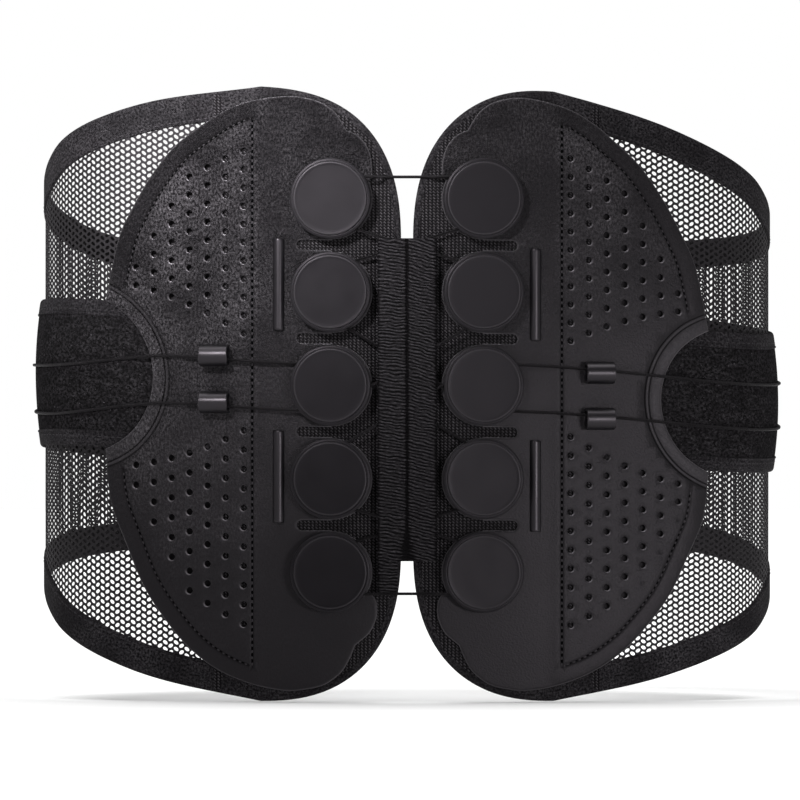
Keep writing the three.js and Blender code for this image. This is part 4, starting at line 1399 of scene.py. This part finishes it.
def add_tab(side, name):
    """A pressed plate with a raised rim, a finger hole with a lip, and grip ribs by its nose."""
    runs = [TAB_RUN[0] + d for d in (0, 1, 2, 3, 5, 7, 9)] + spread(276, 309, 16)
    runs += [mix(309, TAB_RUN[1], math.sin(math.pi / 2 * k / 24)) for k in range(1, 25)]
    outline = [(run, STRAP_Z + tab_half(run)) for run in runs]
    outline += [(run, STRAP_Z - tab_half(run)) for run in reversed(runs)]
    s, rs, rz = FINGER

    def oval(grow, count=48):
        return [(s + (rs + grow) * math.cos(a), STRAP_Z + (rz + grow) * math.sin(a))
                for a in spread(0, 2 * math.pi, count)[:-1]]

    hole = oval(0)
    loops = [outline, hole] + [shifted(outline, d, closed=True) for d in (0.3, 0.8, 1.4, 2.6, 3.2, 3.8)]
    loops += [oval(d) for d in (0.3, 0.8, 1.4, 2.0, 2.6)]
    extra = [(x, z) for x in spread(266, 336, 28) for z in spread(-22, 28, 22)]

    def keep(points):
        return contains(outline, points) & ~contains(hole, points)

    flat, faces, rim = triangulate(loops, [], extra, keep)
    edge_gap = distance_to(segments_of(outline, True), flat)
    hole_gap = distance_to(segments_of(hole, True), flat)
    dish = 0.35 * np.clip((edge_gap - 2.6) / 1.2, 0, 1) * np.clip((hole_gap - 1.4) / 1.2, 0, 1)
    ribs = 0.28 * (0.5 + 0.5 * np.cos(2 * np.pi * (flat[:, 0] - 276) / 3.4))
    ribs *= (np.abs(flat[:, 1] - STRAP_Z) < 13) * (flat[:, 0] > 275) * (flat[:, 0] < 291)
    outer = TAB_OUT - rounded(rim, 0.8) - dish + ribs
    inner = TAB_IN + rounded(rim, 0.5)
    signed = [(side * x, z) for x, z in flat.tolist()]
    plate = slab(f"{name}_tab_plate", signed, faces, outer.tolist(), inner.tolist(), TAB, sharp=50)
    on(plate, f"{name}_tab", "tab", f"{name}_pull_tab")
    runs = spread(278, 294, 8)
    flat, faces = grid(side, runs, lambda run: rows_between(STRAP_Z - 16, STRAP_Z + 16, [0, 0.5], 12))
    pad = slab(f"{name}_tab_hooks", flat, faces, [4.35] * len(flat), [3.2] * len(flat), HOOK)
    on(pad, f"{name}_tab", "hook", f"{name}_tab_hook_pad")


CLOSURE_START, CLOSURE_END = 256, 345
CLOSURE_HALF = 50
CLOSURE_CORNER = 14
CORNER_START = CLOSURE_END - CLOSURE_CORNER
CLOSURE_SEAM = 2.2  # how far in from the edge the seam runs


def closure_reach(run):
    """Half the closure panel's height, with its outer corners rounded."""
    past = clamp(run - CORNER_START, 0, CLOSURE_CORNER)
    return CLOSURE_HALF - (CLOSURE_CORNER - math.sqrt(CLOSURE_CORNER ** 2 - past ** 2))


def add_closure(side, name):
    material = LOOP if side < 0 else HOOK
    runs = [CLOSURE_START + d for d in (0, 0.6, 2)] + spread(262, CORNER_START, 24)
    runs += [CORNER_START + CLOSURE_CORNER * math.sin(math.pi / 2 * k / 10) for k in range(1, 11)]

    def heights(run):
        return rows_between(-closure_reach(run), closure_reach(run), [0, 0.5, 1.5, 4], 36)

    def inwards(run, z):
        return min(closure_reach(run) - abs(z), run - CLOSURE_START, CLOSURE_END - run)

    flat, faces = grid(side, runs, heights)
    outer = [2.8 - 0.2 * smooth(2.5, 0, inwards(abs(s), z)) for s, z in flat]
    panel = slab(f"{name}_closure_face", flat, faces, outer, [1.5] * len(flat), material)
    on(panel, f"{name}_wing", "loop" if side < 0 else "hook", f"{name}_closure_panel")
    last = CLOSURE_END - CLOSURE_SEAM
    corner = closure_reach(last) - CLOSURE_SEAM
    rim = [(run, closure_reach(run) - CLOSURE_SEAM) for run in runs[2:] if run < last + 0.2]
    below = [(run, -z) for run, z in reversed(rim)]
    rim += [(last, z) for z in spread(corner, -corner, 24)]
    rim += below
    rim += [(CLOSURE_START + CLOSURE_SEAM, z) for z in spread(-47.6, 47.6, 30)]
    seam = stitches(f"{name}_closure_seam", side, [rim], lambda run, z: 2.78, 2.8, 2.0, 0.45, 0.16)
    on(seam, f"{name}_wing", "loop" if side < 0 else "hook")


# ---- Liner pads ----
LINER_START, LINER_END = 6, 101
LINER_SIDE = 62  # half height at its two sides
LINER_DOME = 36
CHANNELS = (-48, 0, 48)


def liner_reach(run):
    """Half the pad's height: domed above and below."""
    half = (LINER_END - LINER_START) / 2
    along = abs((run - LINER_START - half) / half)
    return LINER_SIDE + LINER_DOME * max(0.0, 1 - along ** 3) ** (1 / 3)


def add_liner(side, name):
    """A soft pad with sewn channels: puffed by a cloth simulation between its seams."""
    width = LINER_END - LINER_START
    runs = [LINER_START + width * (1 - math.cos(math.pi * k / 34)) / 2 for k in range(35)]

    def heights(run):
        return rows_between(-liner_reach(run), liner_reach(run), [0, 1.2, 3], 62)

    flat, faces = grid(side, runs, heights)
    rim = [min(liner_reach(abs(s)) - abs(z), abs(s) - LINER_START, LINER_END - abs(s)) for s, z in flat]
    inner = [-2.6 - 1.1 * math.sqrt(clamp(d / 5)) for d in rim]
    outer = [-0.5 - 0.5 * (1 - clamp(d / 1.5)) for d in rim]
    pad = slab(f"{name}_liner_cushion", flat, faces, outer, inner, LINER, sharp=70)
    puff(pad, len(flat), [not sewn(z, d) for (_, z), d in zip(flat, rim)])
    on(pad, f"{name}_back", "liner", f"{name}_liner_pad")


def sewn(z, rim):
    """Where the pad is held down: its rim and three level channels."""
    return rim < 1.5 or min(abs(z - line) for line in CHANNELS) < 1.2


PUFF_FRAMES = 14
PUFF_LIMIT = 2.4


def puff(obj, count, loose):
    """Blows the inner face up between its seams with Blender's cloth, then keeps the shape."""
    group = obj.vertex_groups.new(name="held")
    held = list(range(count)) + [count + i for i, free in enumerate(loose) if not free]
    group.add(held, 1.0, "REPLACE")
    before = np.empty(len(obj.data.vertices) * 3)
    obj.data.vertices.foreach_get("co", before)
    cloth = obj.modifiers.new("puff", "CLOTH")
    settings = cloth.settings
    settings.vertex_group_mass = "held"
    settings.use_pressure = True
    settings.uniform_pressure_force = 6
    settings.tension_stiffness = settings.compression_stiffness = 8
    settings.bending_stiffness = 0.2
    settings.effector_weights.gravity = 0
    cloth.collision_settings.use_collision = False
    cloth.point_cache.frame_end = PUFF_FRAMES
    scene = bpy.context.scene
    for number in range(1, PUFF_FRAMES + 1):
        scene.frame_set(number)
    shape = obj.evaluated_get(bpy.context.evaluated_depsgraph_get()).to_mesh()
    after = np.empty(len(shape.vertices) * 3)
    shape.vertices.foreach_get("co", after)
    obj.modifiers.remove(cloth)
    scene.frame_set(1)
    move = (after - before).reshape(-1, 3)
    size = np.linalg.norm(move, axis=1, keepdims=True)
    limit = PUFF_LIMIT * METRES
    move *= np.where(size > limit, limit / np.maximum(size, 1e-12), 1.0)
    obj.data.vertices.foreach_set("co", (before + move.ravel()))
    obj.data.update()


# ---- Assembly ----
add_elastic()
for side_name, side_sign in SIDES:
    add_back_panel(side_sign, side_name)
    add_binding(side_sign, side_name)
    add_mesh(side_sign, side_name)
    add_strap(side_sign, side_name)
    add_shell(side_sign, side_name)
    add_stays(side_sign, side_name)
    add_pulleys(side_sign, side_name)
    add_guides(side_sign, side_name)
    add_pull_cords(side_sign, side_name)
    add_closure(side_sign, side_name)
    add_tab(side_sign, side_name)
    add_liner(side_sign, side_name)
add_lacing()
dress_sheaves()


# ---- Floor, light and camera ----
def add_floor():
    paint = Paint("floor_paint", roughness=0.95, specular=0.0)
    paint.finish(paint.colours(paint.noise(paint.solid(), 400, 2), (0.87, 0.87, 0.87), (0.9, 0.9, 0.9)))
    bottom = -(HALF_HEIGHT + 1.2) * METRES
    corners = [(x, y, bottom) for x, y in ((-6, -6), (6, -6), (6, 6), (-6, 6))]
    floor = build("floor", corners, [(0, 1, 2, 3)], paint.material)


def hang(name, data, location, target):
    """A lamp at location that shines at target."""
    lamp = bpy.data.objects.new(name, data)
    lamp.location = location
    lamp.rotation_euler = (Vector(target) - Vector(location)).to_track_quat("-Z", "Y").to_euler()
    bpy.context.scene.collection.objects.link(lamp)


def add_sun(name, strength, spread_angle, location):
    data = bpy.data.lights.new(name, "SUN")
    data.energy = strength
    data.angle = spread_angle
    hang(name, data, location, (0, 0, 0))


def add_light(name, energy, size, location, target, spread_angle):
    data = bpy.data.lights.new(name, "AREA")
    data.energy = energy
    data.shape = "RECTANGLE"
    data.size, data.size_y = size
    data.spread = math.radians(spread_angle)
    hang(name, data, location, target)


WORLD_GLOW = 0.15


def add_world():
    """A white studio: it looks white, and lights the object softly."""
    world = bpy.data.worlds.new("studio")
    world.use_nodes = True
    tree = world.node_tree
    background = tree.nodes["Background"]
    background.inputs["Color"].default_value = (1, 1, 1, 1)
    seen = tree.nodes.new("ShaderNodeLightPath").outputs["Is Camera Ray"]
    strength = tree.nodes.new("ShaderNodeMapRange")
    tree.links.new(seen, strength.inputs["Value"])
    strength.inputs["To Min"].default_value = WORLD_GLOW
    strength.inputs["To Max"].default_value = 1.0
    tree.links.new(strength.outputs[0], background.inputs["Strength"])
    bpy.context.scene.world = world


CAMERA_DISTANCE = 3.5
VIEW_WIDTH = 0.3168  # metres across the picture at the brace's back
SENSOR = 36
CAMERA_SHIFT = (-2.8, -2.0)  # sideways and up from the middle, in mm


def add_camera():
    data = bpy.data.cameras.new("camera")
    data.sensor_width = SENSOR
    data.lens = SENSOR * CAMERA_DISTANCE / VIEW_WIDTH
    data.clip_end = 50
    camera = bpy.data.objects.new("camera", data)
    back = place(0, 0, 4).y
    camera.location = (CAMERA_SHIFT[0] * METRES, back - CAMERA_DISTANCE, CAMERA_SHIFT[1] * METRES)
    camera.rotation_euler = (math.pi / 2, 0, 0)
    bpy.context.scene.collection.objects.link(camera)
    bpy.context.scene.camera = camera


add_floor()
add_world()
add_sun("overhead", 3.8, 1.2, (-0.1, 0.1, 1))
add_light("key", 0.335, (0.12, 0.12), (-0.32, -0.85, 0.42), (-0.07, -0.08, 0.115), 17)
add_light("low_fill", 0.21, (0.2, 0.2), (0.5, -1.2, -0.05), (0.08, -0.08, -0.08), 28)
add_camera()
bpy.context.scene.view_settings.view_transform = "Standard"
